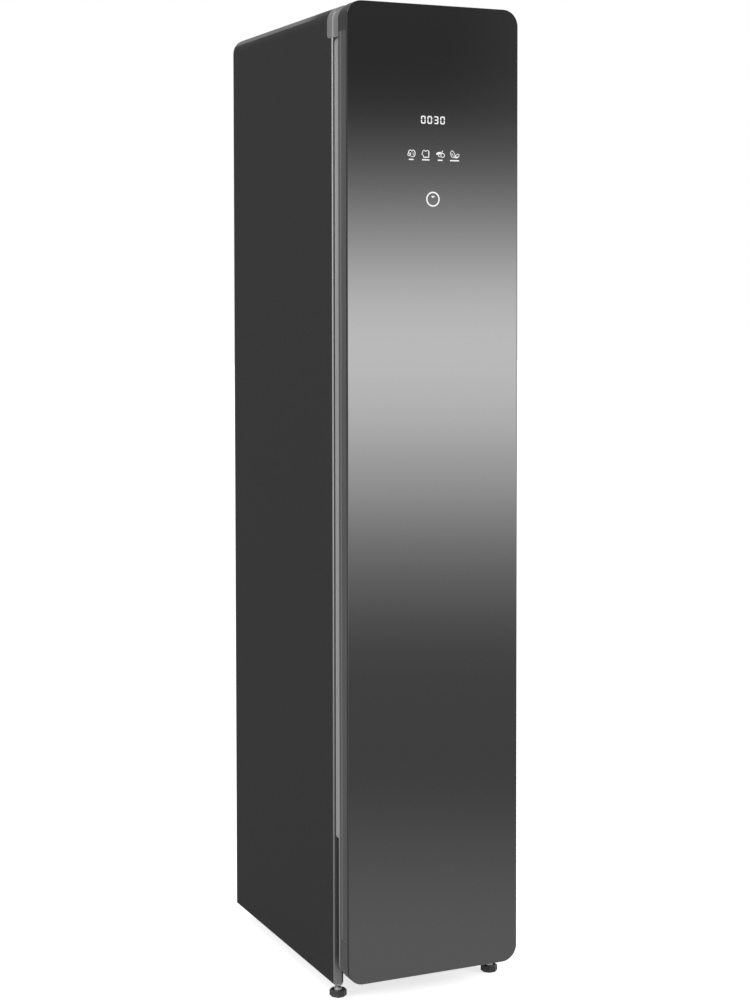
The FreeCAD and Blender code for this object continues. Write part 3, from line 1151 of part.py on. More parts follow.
flap = new_body("press_flap")
flap_front, flap_back = d.press_axis_y - d.flap_gauge / 2, d.press_axis_y + d.flap_gauge / 2
board_shape = [(d.flap_left, d.press_low, d.flap_corner), (d.press_axis_x, d.press_low),
               (d.press_axis_x, d.press_top), (d.flap_left, d.press_top, d.flap_corner)]
pad(flap, "XZ", [board_shape], flap_front, flap_back)
pad(flap, "XY", [circle(d.press_axis_x, d.press_axis_y, d.barrel_radius)], d.press_low, d.press_top)
pad(flap, "XY", [circle(d.press_axis_x, d.press_axis_y, d.press_pin)], d.press_low - d.ear_height,
    d.press_top + d.ear_height)
slot_top = d.first_slot + d.flap_slot
cut = pocket(flap, "XZ", [rectangle(-d.slot_far, -d.slot_near, d.first_slot, slot_top),
                          rectangle(d.slot_near, d.slot_far, d.first_slot, slot_top)], flap_front, flap_back)
row(flap, [cut], "Z", d.flap_slot_pitch * (FLAP_SLOTS - 1), FLAP_SLOTS)
keep(flap, "press_flap")

clips = []
for s, tag in ((-1, "left"), (1, "right")):
    clip = new_body(f"clip_{tag}")
    low, high, x = d.clip_low, d.clip_low + d.clip_height, d.clip_x * s
    hem_grip = [(flap_back, low), (flap_back + 10, low + 4, as_size(2)), (flap_back + 10, high, as_size(2)),
                (flap_back + 4, high + 6), (flap_back, high)]
    pad(clip, "YZ", [hem_grip], x - d.clip_width / 2, x + d.clip_width / 2)
    clips.append(clip)
group("press_clips", clips)


# ---------------------------------------------------------------- checks and export

doc.recompute()
faults = []
for item in doc.Objects:
    if "Invalid" in item.State or "Error" in item.State:
        faults.append(f"{item.Name}: {item.State} {item.getStatusString()}")
for node in NODES:
    if node.Shape.isNull() or not node.Shape.isValid() or not node.Shape.Solids:
        faults.append(f"{node.Label}: shape is empty or not valid")
if faults:
    raise SystemExit("\n".join(faults))

os.makedirs("parts", exist_ok=True)
for node in NODES:
    node.Shape.exportStep(f"parts/{node.Label}.step")
    box = node.Shape.BoundBox
    print(f"{node.Label:24s} solids {len(node.Shape.Solids)} faces {len(node.Shape.Faces):4d} "
          f"volume {node.Shape.Volume / 1000:9.1f} cm3  x {box.XMin:7.1f} {box.XMax:7.1f}  "
          f"y {box.YMin:7.1f} {box.YMax:7.1f}  z {box.ZMin:7.1f} {box.ZMax:7.1f}")
print(len(NODES), "nodes")
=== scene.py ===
import math

import bpy
import numpy as np
from mathutils import Euler, Matrix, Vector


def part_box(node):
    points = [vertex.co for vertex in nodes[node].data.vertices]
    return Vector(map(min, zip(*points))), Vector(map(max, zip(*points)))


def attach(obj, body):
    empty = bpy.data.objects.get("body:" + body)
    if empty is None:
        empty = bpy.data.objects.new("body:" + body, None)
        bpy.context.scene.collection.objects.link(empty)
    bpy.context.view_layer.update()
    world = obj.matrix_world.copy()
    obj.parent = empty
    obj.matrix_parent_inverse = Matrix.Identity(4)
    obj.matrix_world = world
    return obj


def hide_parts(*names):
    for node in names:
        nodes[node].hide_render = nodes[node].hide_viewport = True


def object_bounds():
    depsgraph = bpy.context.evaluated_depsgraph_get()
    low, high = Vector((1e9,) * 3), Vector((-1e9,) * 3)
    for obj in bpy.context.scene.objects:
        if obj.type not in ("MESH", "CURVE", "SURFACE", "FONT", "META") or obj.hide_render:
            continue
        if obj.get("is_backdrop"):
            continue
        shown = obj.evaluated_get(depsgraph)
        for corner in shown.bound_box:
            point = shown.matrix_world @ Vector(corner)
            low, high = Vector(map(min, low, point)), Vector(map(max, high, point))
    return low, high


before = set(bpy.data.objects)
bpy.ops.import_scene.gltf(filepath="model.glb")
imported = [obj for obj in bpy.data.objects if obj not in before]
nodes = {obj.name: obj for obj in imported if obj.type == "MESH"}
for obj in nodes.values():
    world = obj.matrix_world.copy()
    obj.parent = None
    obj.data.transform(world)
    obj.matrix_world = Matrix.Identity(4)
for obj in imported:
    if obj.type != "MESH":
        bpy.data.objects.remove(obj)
cad_low, cad_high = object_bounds()
MM = 0.001


# ---------------------------------------------------------------- shell: side panels and top panel
# Bent steel sheet under a dark grey powder coat with a fine orange peel. The sides roll in at the front and
# meet the top panel in a seam part of the way up the top bend.

class Wire:
    """A socket of one finish. Arithmetic on it adds Math nodes."""

    def __init__(self, finish, socket):
        self.finish, self.socket = finish, socket

    def math(self, operation, *values):
        return self.finish.add("ShaderNodeMath", {"operation": operation}, dict(enumerate(values)))

    def __add__(self, other):
        return self.math("ADD", self, other)

    def __sub__(self, other):
        return self.math("SUBTRACT", self, other)

    def __rsub__(self, other):
        return self.math("SUBTRACT", other, self)

    def __mul__(self, other):
        return self.math("MULTIPLY", self, other)

    def __mod__(self, other):
        return self.math("FLOORED_MODULO", self, other)

    def __gt__(self, other):
        return self.math("GREATER_THAN", self, other)

    def __lt__(self, other):
        return self.math("LESS_THAN", self, other)

    def __abs__(self):
        return self.math("ABSOLUTE", self)

    __radd__, __rmul__ = __add__, __mul__


class Finish:
    """A procedural material on Object coordinates, in metres."""

    def __init__(self, name, **sockets):
        self.material = bpy.data.materials.new(name)
        self.material.use_nodes = True
        self.tree = self.material.node_tree
        self.shader = self.tree.nodes["Principled BSDF"]
        self.place = self.add("ShaderNodeTexCoord", {}, {}, "Object")
        self.set(**sockets)

    def add(self, kind, settings, inputs, out=0):
        """Adds a node: its settings first, then the values or links of its sockets."""
        node = self.tree.nodes.new(kind)
        for key, value in settings.items():
            if key == "stops":
                ramp = node.color_ramp
                ramp.interpolation = "B_SPLINE"
                while len(ramp.elements) < len(value):
                    ramp.elements.new(1.0)
                for element, (position, colour) in zip(ramp.elements, value):
                    element.position, element.color = position, colour
            else:
                setattr(node, key, value)
        for key, value in inputs.items():
            self.feed(node.inputs[key], value)
        return Wire(self, node.outputs[out])

    def feed(self, socket, value):
        if isinstance(value, Wire):
            self.tree.links.new(value.socket, socket)
        else:
            socket.default_value = value

    def set(self, **sockets):
        for key, value in sockets.items():
            self.feed(self.shader.inputs[key.replace("_", " ")], value)

    def stretched(self, stretch):
        """Object coordinates, scaled along X, Y and Z."""
        return self.add("ShaderNodeMapping", {"vector_type": "POINT"},
                        {"Vector": self.place, "Scale": stretch})

    def noise(self, scale, detail=2.0, stretch=(1, 1, 1)):
        """Fractal noise from 0 to 1; scale is in cells per metre."""
        where = self.stretched(stretch)
        return self.add("ShaderNodeTexNoise", {}, {"Vector": where, "Scale": scale, "Detail": detail})

    def cells(self, scale, measure="Distance", stretch=(1, 1, 1)):
        """Voronoi cells; scale is in cells per metre."""
        where = self.stretched(stretch)
        return self.add("ShaderNodeTexVoronoi", {"feature": "F1"}, {"Vector": where, "Scale": scale}, measure)

    def axis(self, letter):
        return self.add("ShaderNodeSeparateXYZ", {}, {0: self.place}, letter)

    def soft(self, value, low, high):
        """0 below low and 1 above high, with a smooth step between them."""
        return self.add("ShaderNodeMapRange", {"interpolation_type": "SMOOTHSTEP"},
                        {"Value": value, "From Min": low, "From Max": high})

    def mix(self, factor, first, second):
        """A colour between two colours."""
        return self.add("ShaderNodeMix", {"data_type": "RGBA"}, {0: factor, 6: first, 7: second}, 2)

    def bump(self, height, strength, distance):
        """A normal that leans with a height from 0 to 1, which stands for the distance in metres."""
        return self.add("ShaderNodeBump", {}, {"Height": height, "Strength": strength, "Distance": distance})


def grey(level, tint=(1.0, 1.0, 1.0)):
    """A linear colour from a display level between 11 and 255, by the display's power curve."""
    linear = ((level / 255 + 0.055) / 1.055) ** 2.4
    return (linear * tint[0], linear * tint[1], linear * tint[2], 1.0)


def dress(finish, *names):
    """Puts a finish on the CAD nodes."""
    for name in names:
        for slot in nodes[name].material_slots:
            slot.material = finish.material


def powder_coat(name, rough):
    """Orange peel and gloss. Returns the finish, and the slow clouds and fine flecks that shade it."""
    coat = Finish(name, IOR=1.5)
    clouds, flecks, peel = coat.noise(4, 3), coat.noise(2600, 1), coat.noise(700, 2)
    coat.set(Roughness=rough + (clouds - 0.5) * 0.08 + (flecks - 0.5) * 0.1,
             Normal=coat.bump(peel + flecks * 0.3, 0.16, 0.0004))
    return coat, clouds, flecks


shell_paint, clouds, flecks = powder_coat("shell_paint", 0.46)
shell_grey = shell_paint.mix(clouds, grey(48.5), grey(51.5))
shell_paint.set(Base_Color=shell_paint.mix((flecks > 0.66) * 0.3, shell_grey, grey(70)))

# The top's rolled edges carry a painted reflection, paler than the face, fading to painted shade by the caps.
top_paint, clouds, flecks = powder_coat("top_paint", 0.6)
roll_depth = 0.8 * MM
roll = top_paint.axis("Z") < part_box("top_panel")[1][2] - roll_depth
painted_reflection_fade = top_paint.soft(top_paint.axis("Y"), -160 * MM, -85 * MM)
roll_painted_reflection = top_paint.mix(painted_reflection_fade, grey(66), grey(122))
top_paint.set(Base_Color=top_paint.mix(roll, top_paint.mix(clouds, grey(98), grey(106)), roll_painted_reflection))
dress(shell_paint, "side_panel_left", "side_panel_right")
dress(top_paint, "top_panel")


# ---------------------------------------------------------------- rear panel, its cover, base tray, screws
# Galvanised sheet, left bare where it faces the wall or the floor, with the zinc's spangle. Pan head screws
# with a cross recess hold the two rear sheets to the side panels' flanges.

def zinc(name, level=158, rough=0.4):
    """Zinc plating: a flake's own tone, drawn streaks and wide smudges."""
    plate = Finish(name, Metallic=1.0)
    flake = plate.add("ShaderNodeSeparateColor", {}, {0: plate.cells(140, "Color")}, 0)
    streak = plate.noise(14, 4, (1, 1, 6))
    smudge = plate.soft(plate.noise(5, 3), 0.52, 0.75)
    shade = flake * 0.55 + streak * 0.35 + smudge * 0.1
    plate.set(Base_Color=plate.mix(shade, grey(level * 0.93), grey(level * 1.08)),
              Roughness=rough + (flake - 0.5) * 0.16 + (streak - 0.5) * 0.1 + smudge * 0.12,
              Normal=plate.bump(streak, 0.08, 0.001))
    return plate


zinc_sheet = zinc("zinc_sheet")
dress(zinc_sheet, "rear_panel", "rear_service_cover", "base_tray")


def woven(name, grids, finish, body, along=False):
    """One mesh over grids of points, each rows x columns x 3. The last column joins the first; along joins
    the last row to the first, and without it a face closes each of them. Faces are turned outwards by the
    sign of the enclosed volume, which is the sum of a . (b x c) over the triangles."""
    points, faces, base = [], [], 0
    for grid in grids:
        rows, columns = grid.shape[:2]
        index = base + np.arange(rows * columns).reshape(rows, columns)
        beside = np.roll(index, -1, axis=1)
        below, below_beside = np.roll(index, -1, axis=0), np.roll(beside, -1, axis=0)
        count = rows if along else rows - 1
        quads = np.stack([index, beside, below_beside, below], axis=-1)[:count].reshape(-1, 4)
        corners = grid.reshape(-1, 3)[quads - base]
        lids = [] if along else [index[0][::-1].tolist(), index[-1].tolist()]
        first, second, third, fourth = (corners[:, corner] for corner in range(4))
        volume = sum(np.einsum("ij,ij->", a, np.cross(b, c))
                     for a, b, c in ((first, second, third), (first, third, fourth)))
        for lid in lids:
            ring = grid.reshape(-1, 3)[np.array(lid) - base]
            fan = ring[0][None, :].repeat(len(ring) - 2, axis=0)
            volume += np.einsum("ij,ij->", fan, np.cross(ring[1:-1], ring[2:]))
        made = quads.tolist() + lids
        faces += made if volume > 0 else [face[::-1] for face in made]
        points.append(grid.reshape(-1, 3))
        base += rows * columns
    mesh = bpy.data.meshes.new(name)
    mesh.from_pydata(np.concatenate(points).tolist(), [], faces)
    mesh.shade_smooth()
    mesh.set_sharp_from_angle(angle=math.radians(35))
    piece = bpy.data.objects.new(name, mesh)
    bpy.context.collection.objects.link(piece)
    mesh.materials.append(finish.material)
    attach(piece, body)
    return piece


screw_zinc = Finish("screw_zinc", Metallic=1.0)
brush = screw_zinc.noise(900, 3)
screw_zinc.set(Base_Color=screw_zinc.mix(brush, grey(150), grey(190)), Roughness=0.24 + brush * 0.22)


def pan_head(centre, outward, radius=3.6 * MM, height=2.1 * MM):
    """A domed head with a cross recess about a centre, standing along outward (a unit vector along an axis).
    Height over the disc: a flattened dome h (1 - (r/R)^4) on a short rim, less the cross, whose arms grow
    narrower and shallower outwards."""
    recess, arm_half, arm_share = 1.5 * MM, 0.55 * MM, 0.62
    rim_foot, rim_top = -0.3 * MM, 0.45 * MM
    across = np.roll(outward, 1)
    up = np.cross(outward, across)
    turn = np.linspace(0, 2 * math.pi, 48, endpoint=False)
    share = np.concatenate([[1.0], np.linspace(1.0, 0.04, 12)])[:, None]
    u, v = share * radius * np.cos(turn), share * radius * np.sin(turn)
    lift = height * (1 - share ** 4) + 0.0 * u
    half = arm_half * (1.3 - share)
    cross = ((abs(u) < half) | (abs(v) < half)) & (share < arm_share)
    lift = np.where(cross, lift - recess * (1.1 - share), lift)
    lift[0], lift[1] = rim_foot, rim_top
    place = np.asarray(centre)
    return place + u[..., None] * across + v[..., None] * up + lift[..., None] * np.asarray(outward)


def evenly(start, stop, count):
    """Places at equal steps from start to stop, with both ends."""
    return [float(value) for value in np.linspace(start, stop, count)]


panel_low, panel_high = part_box("rear_panel")
cover_low, cover_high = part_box("rear_service_cover")
screw_inset, top_row_half = 7 * MM, 100 * MM
screws = [(sign * (panel_high[0] - screw_inset), z) for sign in (-1, 1)
          for z in evenly(panel_low[2] + 2 * screw_inset, panel_high[2] - 6 * screw_inset, 7)]
screws += [(x, panel_high[2] - screw_inset) for x in evenly(-top_row_half, top_row_half, 3)]
screws += [(sign * (cover_high[0] - screw_inset), z) for sign in (-1, 1)
           for z in evenly(cover_low[2] + 2 * screw_inset, cover_high[2] - 2 * screw_inset, 3)]
woven("rear_screws", [pan_head((x, panel_high[1], z), (0.0, 1.0, 0.0)) for x, z in screws],
      screw_zinc, "cabinet")


# ---------------------------------------------------------------- levelling feet and lock nuts
# Eight-sided glass-filled nylon pads with finger flutes on zinc-plated studs with a rolled M10 thread. A
# zinc-plated nut under the base tray locks each of them.

def grained(part, rough, grain=1500, depth=0.18):
    """Gives a moulded plastic its eroded grain, and returns the slow drift that shades it."""
    drift = part.noise(7, 3)
    pits = part.noise(grain, 2)
    part.set(Roughness=rough + (drift - 0.5) * 0.08 + (pits - 0.5) * 0.14,
             Normal=part.bump(pits, depth, 0.0004))
    return drift


def moulding(name, level, rough, tint=(1, 1, 1), grain=1500, depth=0.18, spread=0.04):
    """Moulded plastic with an eroded grain and slight colour drift."""
    part = Finish(name, IOR=1.48)
    drift = grained(part, rough, grain, depth)
    part.set(Base_Color=part.mix(drift, grey(level * (1 - spread), tint), grey(level * (1 + spread), tint)))
    return part


pad_top, collar_foot, collar_top = 12 * MM, 12.3 * MM, 16 * MM
foot_nylon = Finish("foot_nylon_and_stud", IOR=1.48)
foot_grain = foot_nylon.noise(900, 3)
plated = foot_nylon.axis("Z") > pad_top + 0.2 * MM
nylon_grey = foot_nylon.mix(foot_grain, grey(56), grey(92))
foot_nylon.set(Base_Color=foot_nylon.mix(plated, nylon_grey, grey(220)), Metallic=plated * 0.2,
               Roughness=0.3 + (foot_grain - 0.5) * 0.2, Normal=foot_nylon.bump(foot_grain, 0.1, 0.0002))
dress(foot_nylon, "foot_front_left", "foot_front_right", "foot_rear_left", "foot_rear_right")
stud_zinc = zinc("stud_zinc", 200, 0.26)
nut_plating = Finish("nut_plating", Metallic=0.35)
plating = nut_plating.noise(300, 4)
nut_plating.set(Base_Color=nut_plating.mix(plating, grey(196), grey(232)), Roughness=0.28 + plating * 0.14)
dress(nut_plating, "foot_lock_nuts")


def thread(x, y, low, high, pitch=1.25 * MM, root=5.03 * MM, crest=5.55 * MM, step=0.16 * MM):
    """A rolled thread: the radius rises and falls as a triangle wave of (height / pitch - angle / turn)."""
    turn = np.linspace(0, 2 * math.pi, 40, endpoint=False)[None, :]
    z = np.arange(low, high, step)[:, None]
    phase = (z / pitch - turn / (2 * math.pi)) % 1.0
    radius = root + (crest - root) * (1 - abs(2 * phase - 1))
    return np.stack([x + radius * np.cos(turn), y + radius * np.sin(turn), z + 0.0 * turn], axis=-1)


def fluted_foot(low, high, flute=0.9 * MM, collar_radius=7 * MM, stud_radius=5 * MM):
    """A fluted pad, its collar and its stud as one surface, row by row from the middle of the sole upwards.
    The pad's reach at an angle t is that of an octagon, half the width over cos(t), with t wrapped to half a
    side either way, less a flute of depth (1 + cos 8t) / 2 along its waist; collar and stud are round."""
    middle, half = (low + high) / 2, (high[0] - low[0]) / 2
    turn = np.linspace(0, 2 * math.pi, 96, endpoint=False)
    side = (turn + math.pi / 8) % (math.pi / 4) - math.pi / 8
    octagon = half / np.cos(side)
    flutes = flute * (1 + np.cos(8 * side)) / 2
    # Rows of the pad: share of the reach, height in millimetres, share of the flute.
    pad = [(0.04, 0, 0), (0.92, 0, 0), (1, 1.2, 0), (1, 2.2, 0), (1, 3.0, 1), (1, 9.0, 1), (1, 9.8, 0),
           (1, 11.2, 0), (0.95, 12.0, 0), (0.80, 12.0, 0), (0.77, 9.6, 0), (0.52, 9.6, 0), (0.49, 11.6, 0)]
    stem = [(collar_radius, collar_foot), (collar_radius, collar_top - 0.1 * MM), (stud_radius, collar_top),
            (stud_radius, high[2] - low[2])]
    reach = np.array([share * octagon - waist * flutes for share, _, waist in pad]
                     + [radius + 0 * turn for radius, _ in stem])
    height = low[2] + np.array([z * MM for _, z, _ in pad] + [z for _, z in stem])[:, None]
    return np.stack([middle[0] + reach * np.cos(turn), middle[1] + reach * np.sin(turn), height + 0 * reach],
                    axis=-1)


nut_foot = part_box("foot_lock_nuts")[0][2]
for corner, body in (("front_left", "foot_fl"), ("front_right", "foot_fr"),
                     ("rear_left", "foot_rl"), ("rear_right", "foot_rr")):
    low, high = (np.array(place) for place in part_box(f"foot_{corner}"))
    middle = (low + high) / 2
    foot = woven(f"fluted_{corner}", [fluted_foot(low, high)], foot_nylon, body)
    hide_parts(f"foot_{corner}")
    rolled = thread(middle[0], middle[1], low[2] + collar_top + 0.1 * MM, nut_foot - 0.2 * MM)
    woven(f"thread_{corner}", [rolled], stud_zinc, body)


# ---------------------------------------------------------------- corner caps and front trims
# Injection-moulded ABS in a lighter grey than the paint: caps clipped over the shell's front top corners, and
# under each a trim down the side panel's front edge. Painted highlights make the trims' rounding pale and the
# caps' ridges and lip ends paler; painted light fills each cap's underside, and painted shade darkens the
# trims' narrow face.

cap_plastic = Finish("cap_plastic", IOR=1.48)
trim_low, trim_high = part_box("front_trim_left")
side_x, top_z = cad_high[0], cad_high[2]
ridge_front, ridge_back, ridge_top = -0.6 * MM, 1.6 * MM, top_z - 12 * MM
lip_depth, lip_foot, joint_half = -20.6 * MM, top_z - 18 * MM, 0.4 * MM
face_depth, face_side, face_top, rounding_side = 0.9 * MM, side_x - 0.85 * MM, 1790 * MM, side_x - 2.3 * MM
cap_height = cap_plastic.axis("Z")
cap_depth = cap_plastic.axis("Y") - trim_low[1]
outwards = abs(cap_plastic.axis("X"))
above = cap_height > trim_high[2]
# Painted highlights: a paler grey along each cap's ridge and at the end of its lip.
ridge_highlight = (cap_depth > ridge_front) * (cap_depth < ridge_back) * above * (cap_height < ridge_top)
lip_end_highlight = (cap_depth < lip_depth) * (cap_height > lip_foot)
# Painted light: a near-white strip on the cap's underside fills its shadow.
under_cap_light = abs(cap_height - trim_high[2]) < joint_half
# Painted shade: the trims' narrow face is dark grey where the door covers it, and pale below the door.
trim_face_shade = ((cap_depth < face_depth) * (outwards < face_side) * (cap_height < face_top)
             * cap_plastic.soft(cap_height, 44 * MM, 84 * MM))
rounding = ((outwards - cap_depth) > rounding_side) * (1 - above) * (1 - trim_face_shade)
cap_drift, cap_pits = cap_plastic.noise(7, 3), cap_plastic.noise(1500, 2)
plain_grey = cap_plastic.mix(cap_drift, grey(130), grey(138))
cap_grey = cap_plastic.mix(under_cap_light, cap_plastic.mix(ridge_highlight + lip_end_highlight, plain_grey, grey(166)), grey(210))
# Painted highlight: the trims' rounding is pale grey, fading towards the floor.
rounding_highlight_grey = cap_plastic.mix(cap_plastic.soft(cap_height, 50 * MM, 1300 * MM), grey(118), grey(208))
cap_grey = cap_plastic.mix(rounding, cap_grey, rounding_highlight_grey)
cap_plastic.set(Base_Color=cap_plastic.mix(trim_face_shade, cap_grey, grey(78)),
                Roughness=0.36 - rounding * 0.1 + (cap_drift - 0.5) * 0.1,
                Normal=cap_plastic.bump(cap_pits, 0.18, 0.0004))
dress(cap_plastic, "corner_cap_left", "corner_cap_right", "front_trim_left", "front_trim_right")


# ---------------------------------------------------------------- chamber liner and insulation
# The liner is one vacuum-formed ABS sheet, satin, with the faint draw ripple of its deep walls. Blocks of
# closed-cell polyurethane foam fill the space between it and the shell.

cool_white = (0.99, 1, 1.01)
liner_plastic = Finish("liner_plastic", IOR=1.49)
draw = liner_plastic.noise(26, 3, (1, 1, 0.35))
grain = liner_plastic.noise(1300, 2)
liner_plastic.set(Base_Color=liner_plastic.mix(draw, grey(196, cool_white), grey(208, cool_white)),
                  Roughness=0.3 + (draw - 0.5) * 0.12 + (grain - 0.5) * 0.08,
                  Normal=liner_plastic.bump(draw + grain * 0.12, 0.12, 0.001))
foam = Finish("cut_foam", Roughness=0.95)
pore = foam.cells(420)
swell = foam.noise(40, 3)
foam.set(Base_Color=foam.mix(pore + swell * 0.3, grey(205, (1, 0.9, 0.6)), grey(236, (1, 0.94, 0.72))),
         Normal=foam.bump(pore, 0.6, 0.0008))
door_liner_plastic = moulding("door_liner_plastic", 166, 0.34, cool_white, 1300, 0.1)
dress(liner_plastic, "chamber_liner")
dress(door_liner_plastic, "door_inner_liner")
dress(foam, "insulation_blocks", "door_foam")


# ---------------------------------------------------------------- floor, filter, aroma holder, nozzle, lamp
# The floor is a moulded grey polypropylene tray with an air grille. The lint filter carries a woven nylon
# gauze; the nozzle is glass-filled nylon; the lamp is an opal strip with LEDs behind it.

floor_plastic = moulding("floor_plastic", 128, 0.44, (0.98, 1, 1.03), 1100, 0.25)
basket_plastic = moulding("basket_plastic", 62, 0.42, (0.96, 1, 1.06), 1100, 0.2)
nozzle_plastic = moulding("nozzle_plastic", 46, 0.38, grain=800, depth=0.2)
dress(floor_plastic, "chamber_floor")
dress(basket_plastic, "lint_filter", "aroma_holder")
dress(nozzle_plastic, "steam_nozzle")

gauze = Finish("nylon_gauze", Roughness=0.5)
weave_pitch, strand_half = 0.9 * MM, 0.14 * MM
warp = abs(gauze.axis("X") % weave_pitch - weave_pitch / 2) < strand_half
weft = abs(gauze.axis("Y") % weave_pitch - weave_pitch / 2) < strand_half
gauze.set(Base_Color=gauze.mix(gauze.noise(600, 2), grey(190), grey(225)), Alpha=(warp + weft) > 0.5)


def gauze_sheet(low, high, sag=1.2 * MM, gauge=0.12 * MM):
    """A cloth held at its rim: the sag is (1 - u^2)(1 - v^2), u and v running from -1 to 1. The grid goes out
    along the top face and back along the underside."""
    u, v = np.meshgrid(np.linspace(-1, 1, 25), np.linspace(-1, 1, 13), indexing="ij")
    x = (low[0] + high[0]) / 2 + u * (high[0] - low[0]) / 2
    y = (low[1] + high[1]) / 2 + v * (high[1] - low[1]) / 2
    z = high[2] - sag * (1 - u ** 2) * (1 - v ** 2)
    upper, lower = np.stack([x, y, z], axis=-1), np.stack([x, y, z - gauge], axis=-1)
    return np.concatenate([upper, lower[:, ::-1]], axis=1)


basket_low, basket_high = (np.array(place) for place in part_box("lint_filter"))
rim = 5.5 * MM
gauze_z = basket_low[2] + 6.4 * MM
woven("filter_gauze", [gauze_sheet((basket_low[0] + rim, basket_low[1] + rim),
                                   (basket_high[0] - rim, basket_high[1] - rim, gauze_z))],
      gauze, "filter")

opal = Finish("lamp_opal", Roughness=0.35, Base_Color=grey(235), Emission_Strength=1.6, IOR=1.5)
opal.set(Emission_Color=opal.mix(opal.cells(60), (1.0, 0.98, 0.92, 1), (0.8, 0.78, 0.72, 1)))
dress(opal, "chamber_lamp")


# ---------------------------------------------------------------- shelf
# A moulded polypropylene rack of slats with a soft sheen. It lies loose on ledges that are formed in the
# liner's side walls, and lifts out.

shelf_plastic = moulding("shelf_plastic", 168, 0.36, (0.98, 1, 1.02), 1200, 0.14)
dress(shelf_plastic, "shelf")


# ---------------------------------------------------------------- shaking hanger with its guide and drive
# Ground steel rods in a folded zinc bracket guide an acetal carriage with the hanger bar under it. A turned
# crank with its pin in the carriage's slot is driven by a flat die-cast gear motor.

ground_steel = Finish("ground_steel", Metallic=1.0)
grind = ground_steel.noise(700, 4, (0.06, 1, 1))
ground_steel.set(Base_Color=ground_steel.mix(grind, grey(168), grey(205)), Roughness=0.16 + grind * 0.2,
                 Normal=ground_steel.bump(grind, 0.1, 0.0002))
turned_steel = Finish("turned_steel", Metallic=1.0)
lathe = turned_steel.noise(500, 3, (1, 1, 4))
turned_steel.set(Base_Color=turned_steel.mix(lathe, grey(150), grey(190)), Roughness=0.2 + lathe * 0.2)
cast_alloy = Finish("cast_alloy", Metallic=1.0)
skin = cast_alloy.noise(160, 5)
cast_alloy.set(Base_Color=cast_alloy.mix(skin, grey(146), grey(188)), Roughness=0.42 + (skin - 0.5) * 0.3,
               Normal=cast_alloy.bump(skin, 0.3, 0.0006))
acetal = moulding("acetal", 44, 0.3, grain=2200, depth=0.08)
bar_plastic = moulding("bar_plastic", 84, 0.4, (0.98, 1, 1.02), 1300, 0.16)
dress(zinc_sheet, "drive_bracket")
dress(ground_steel, "guide_rods")
dress(turned_steel, "crank_disc")
dress(cast_alloy, "hanger_motor")
dress(acetal, "hanger_carriage")
dress(bar_plastic, "hanger_bar")


# ---------------------------------------------------------------- tank bay and water tanks
# The bay is a grey moulding. Each tank is a smoky clear styrene vessel under a grey lid, behind a dark front
# plate with a finger recess.

bay_plastic = moulding("bay_plastic", 98, 0.45, (0.98, 1, 1.02), 1000, 0.22)
tank_front_plastic = moulding("tank_front_plastic", 78, 0.26, (0.97, 1, 1.05), 1800, 0.08)
lid_plastic = moulding("lid_plastic", 142, 0.38, (0.98, 1, 1.03), 1200, 0.16)
smoke_tint = (0.95, 1, 1.08)
smoky = Finish("smoky_clear", Roughness=0.06, IOR=1.57)
haze = smoky.noise(30, 3)
smoky.set(Base_Color=smoky.mix(haze, grey(112, smoke_tint), grey(134, smoke_tint)), Alpha=0.36 + haze * 0.14)
dress(bay_plastic, "tank_bay")
for tank in ("fresh_tank", "waste_tank"):
    dress(smoky, f"{tank}_vessel")
    dress(tank_front_plastic, f"{tank}_front")
    dress(lid_plastic, f"{tank}_lid")


# ---------------------------------------------------------------- fan, heater, boiler, pumps, board and inlet
# Black nylon fan housing and wheel, a steel-cased motor, a galvanised heater duct, a cast boiler with a
# silicone hose, two pumps, the main board in green solder mask, and an appliance inlet with brass pins.

machine_plastic = moulding("machine_plastic", 50, 0.46, grain=900, depth=0.25)
motor_steel = zinc("motor_steel", 172, 0.3)
silicone = moulding("silicone", 196, 0.4, (1, 0.96, 0.86), 600, 0.15)
dress(machine_plastic, "fan_housing", "fan_wheel")
dress(motor_steel, "fan_motor")
dress(zinc_sheet, "heater_duct")
dress(cast_alloy, "steam_generator")
dress(silicone, "steam_hose")

pump_finish = Finish("pump_steel_and_plastic")
pump_joint = 24 * MM
pump_head = pump_finish.axis("Y") > pump_joint
pump_grain = pump_finish.noise(500, 3)
pump_steel = pump_finish.mix(pump_grain, grey(140), grey(178))
pump_finish.set(Base_Color=pump_finish.mix(pump_head, pump_steel, grey(44)), Metallic=1.0 - pump_head,
                Roughness=0.3 + pump_grain * 0.2 + pump_head * 0.12)
dress(pump_finish, "water_pumps")

board = Finish("solder_mask", IOR=1.5)
board_gauge, tall_height = 3.4 * MM, 13 * MM
board_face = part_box("control_board")[0][0] + board_gauge
chips = board.axis("X") > board_face
tall_parts = board.axis("X") > board_face + tall_height
upright_tracks = board.cells(220, "Distance", (1, 1, 0.4)) < 0.16
level_tracks = board.cells(150, "Distance", (1, 0.4, 1)) < 0.14
copper = (upright_tracks + level_tracks) > 0.5
mask_green = board.mix(copper, grey(72, (0.25, 1.0, 0.42)), grey(112, (0.5, 1.0, 0.55)))
parts_grey = board.mix(tall_parts, board.mix(board.noise(60, 2), grey(26), grey(58)), grey(168))
board.set(Base_Color=board.mix(chips, mask_green, parts_grey), Roughness=0.34 + board.noise(300, 2) * 0.15,
          Metallic=tall_parts * 0.9)
dress(board, "control_board")

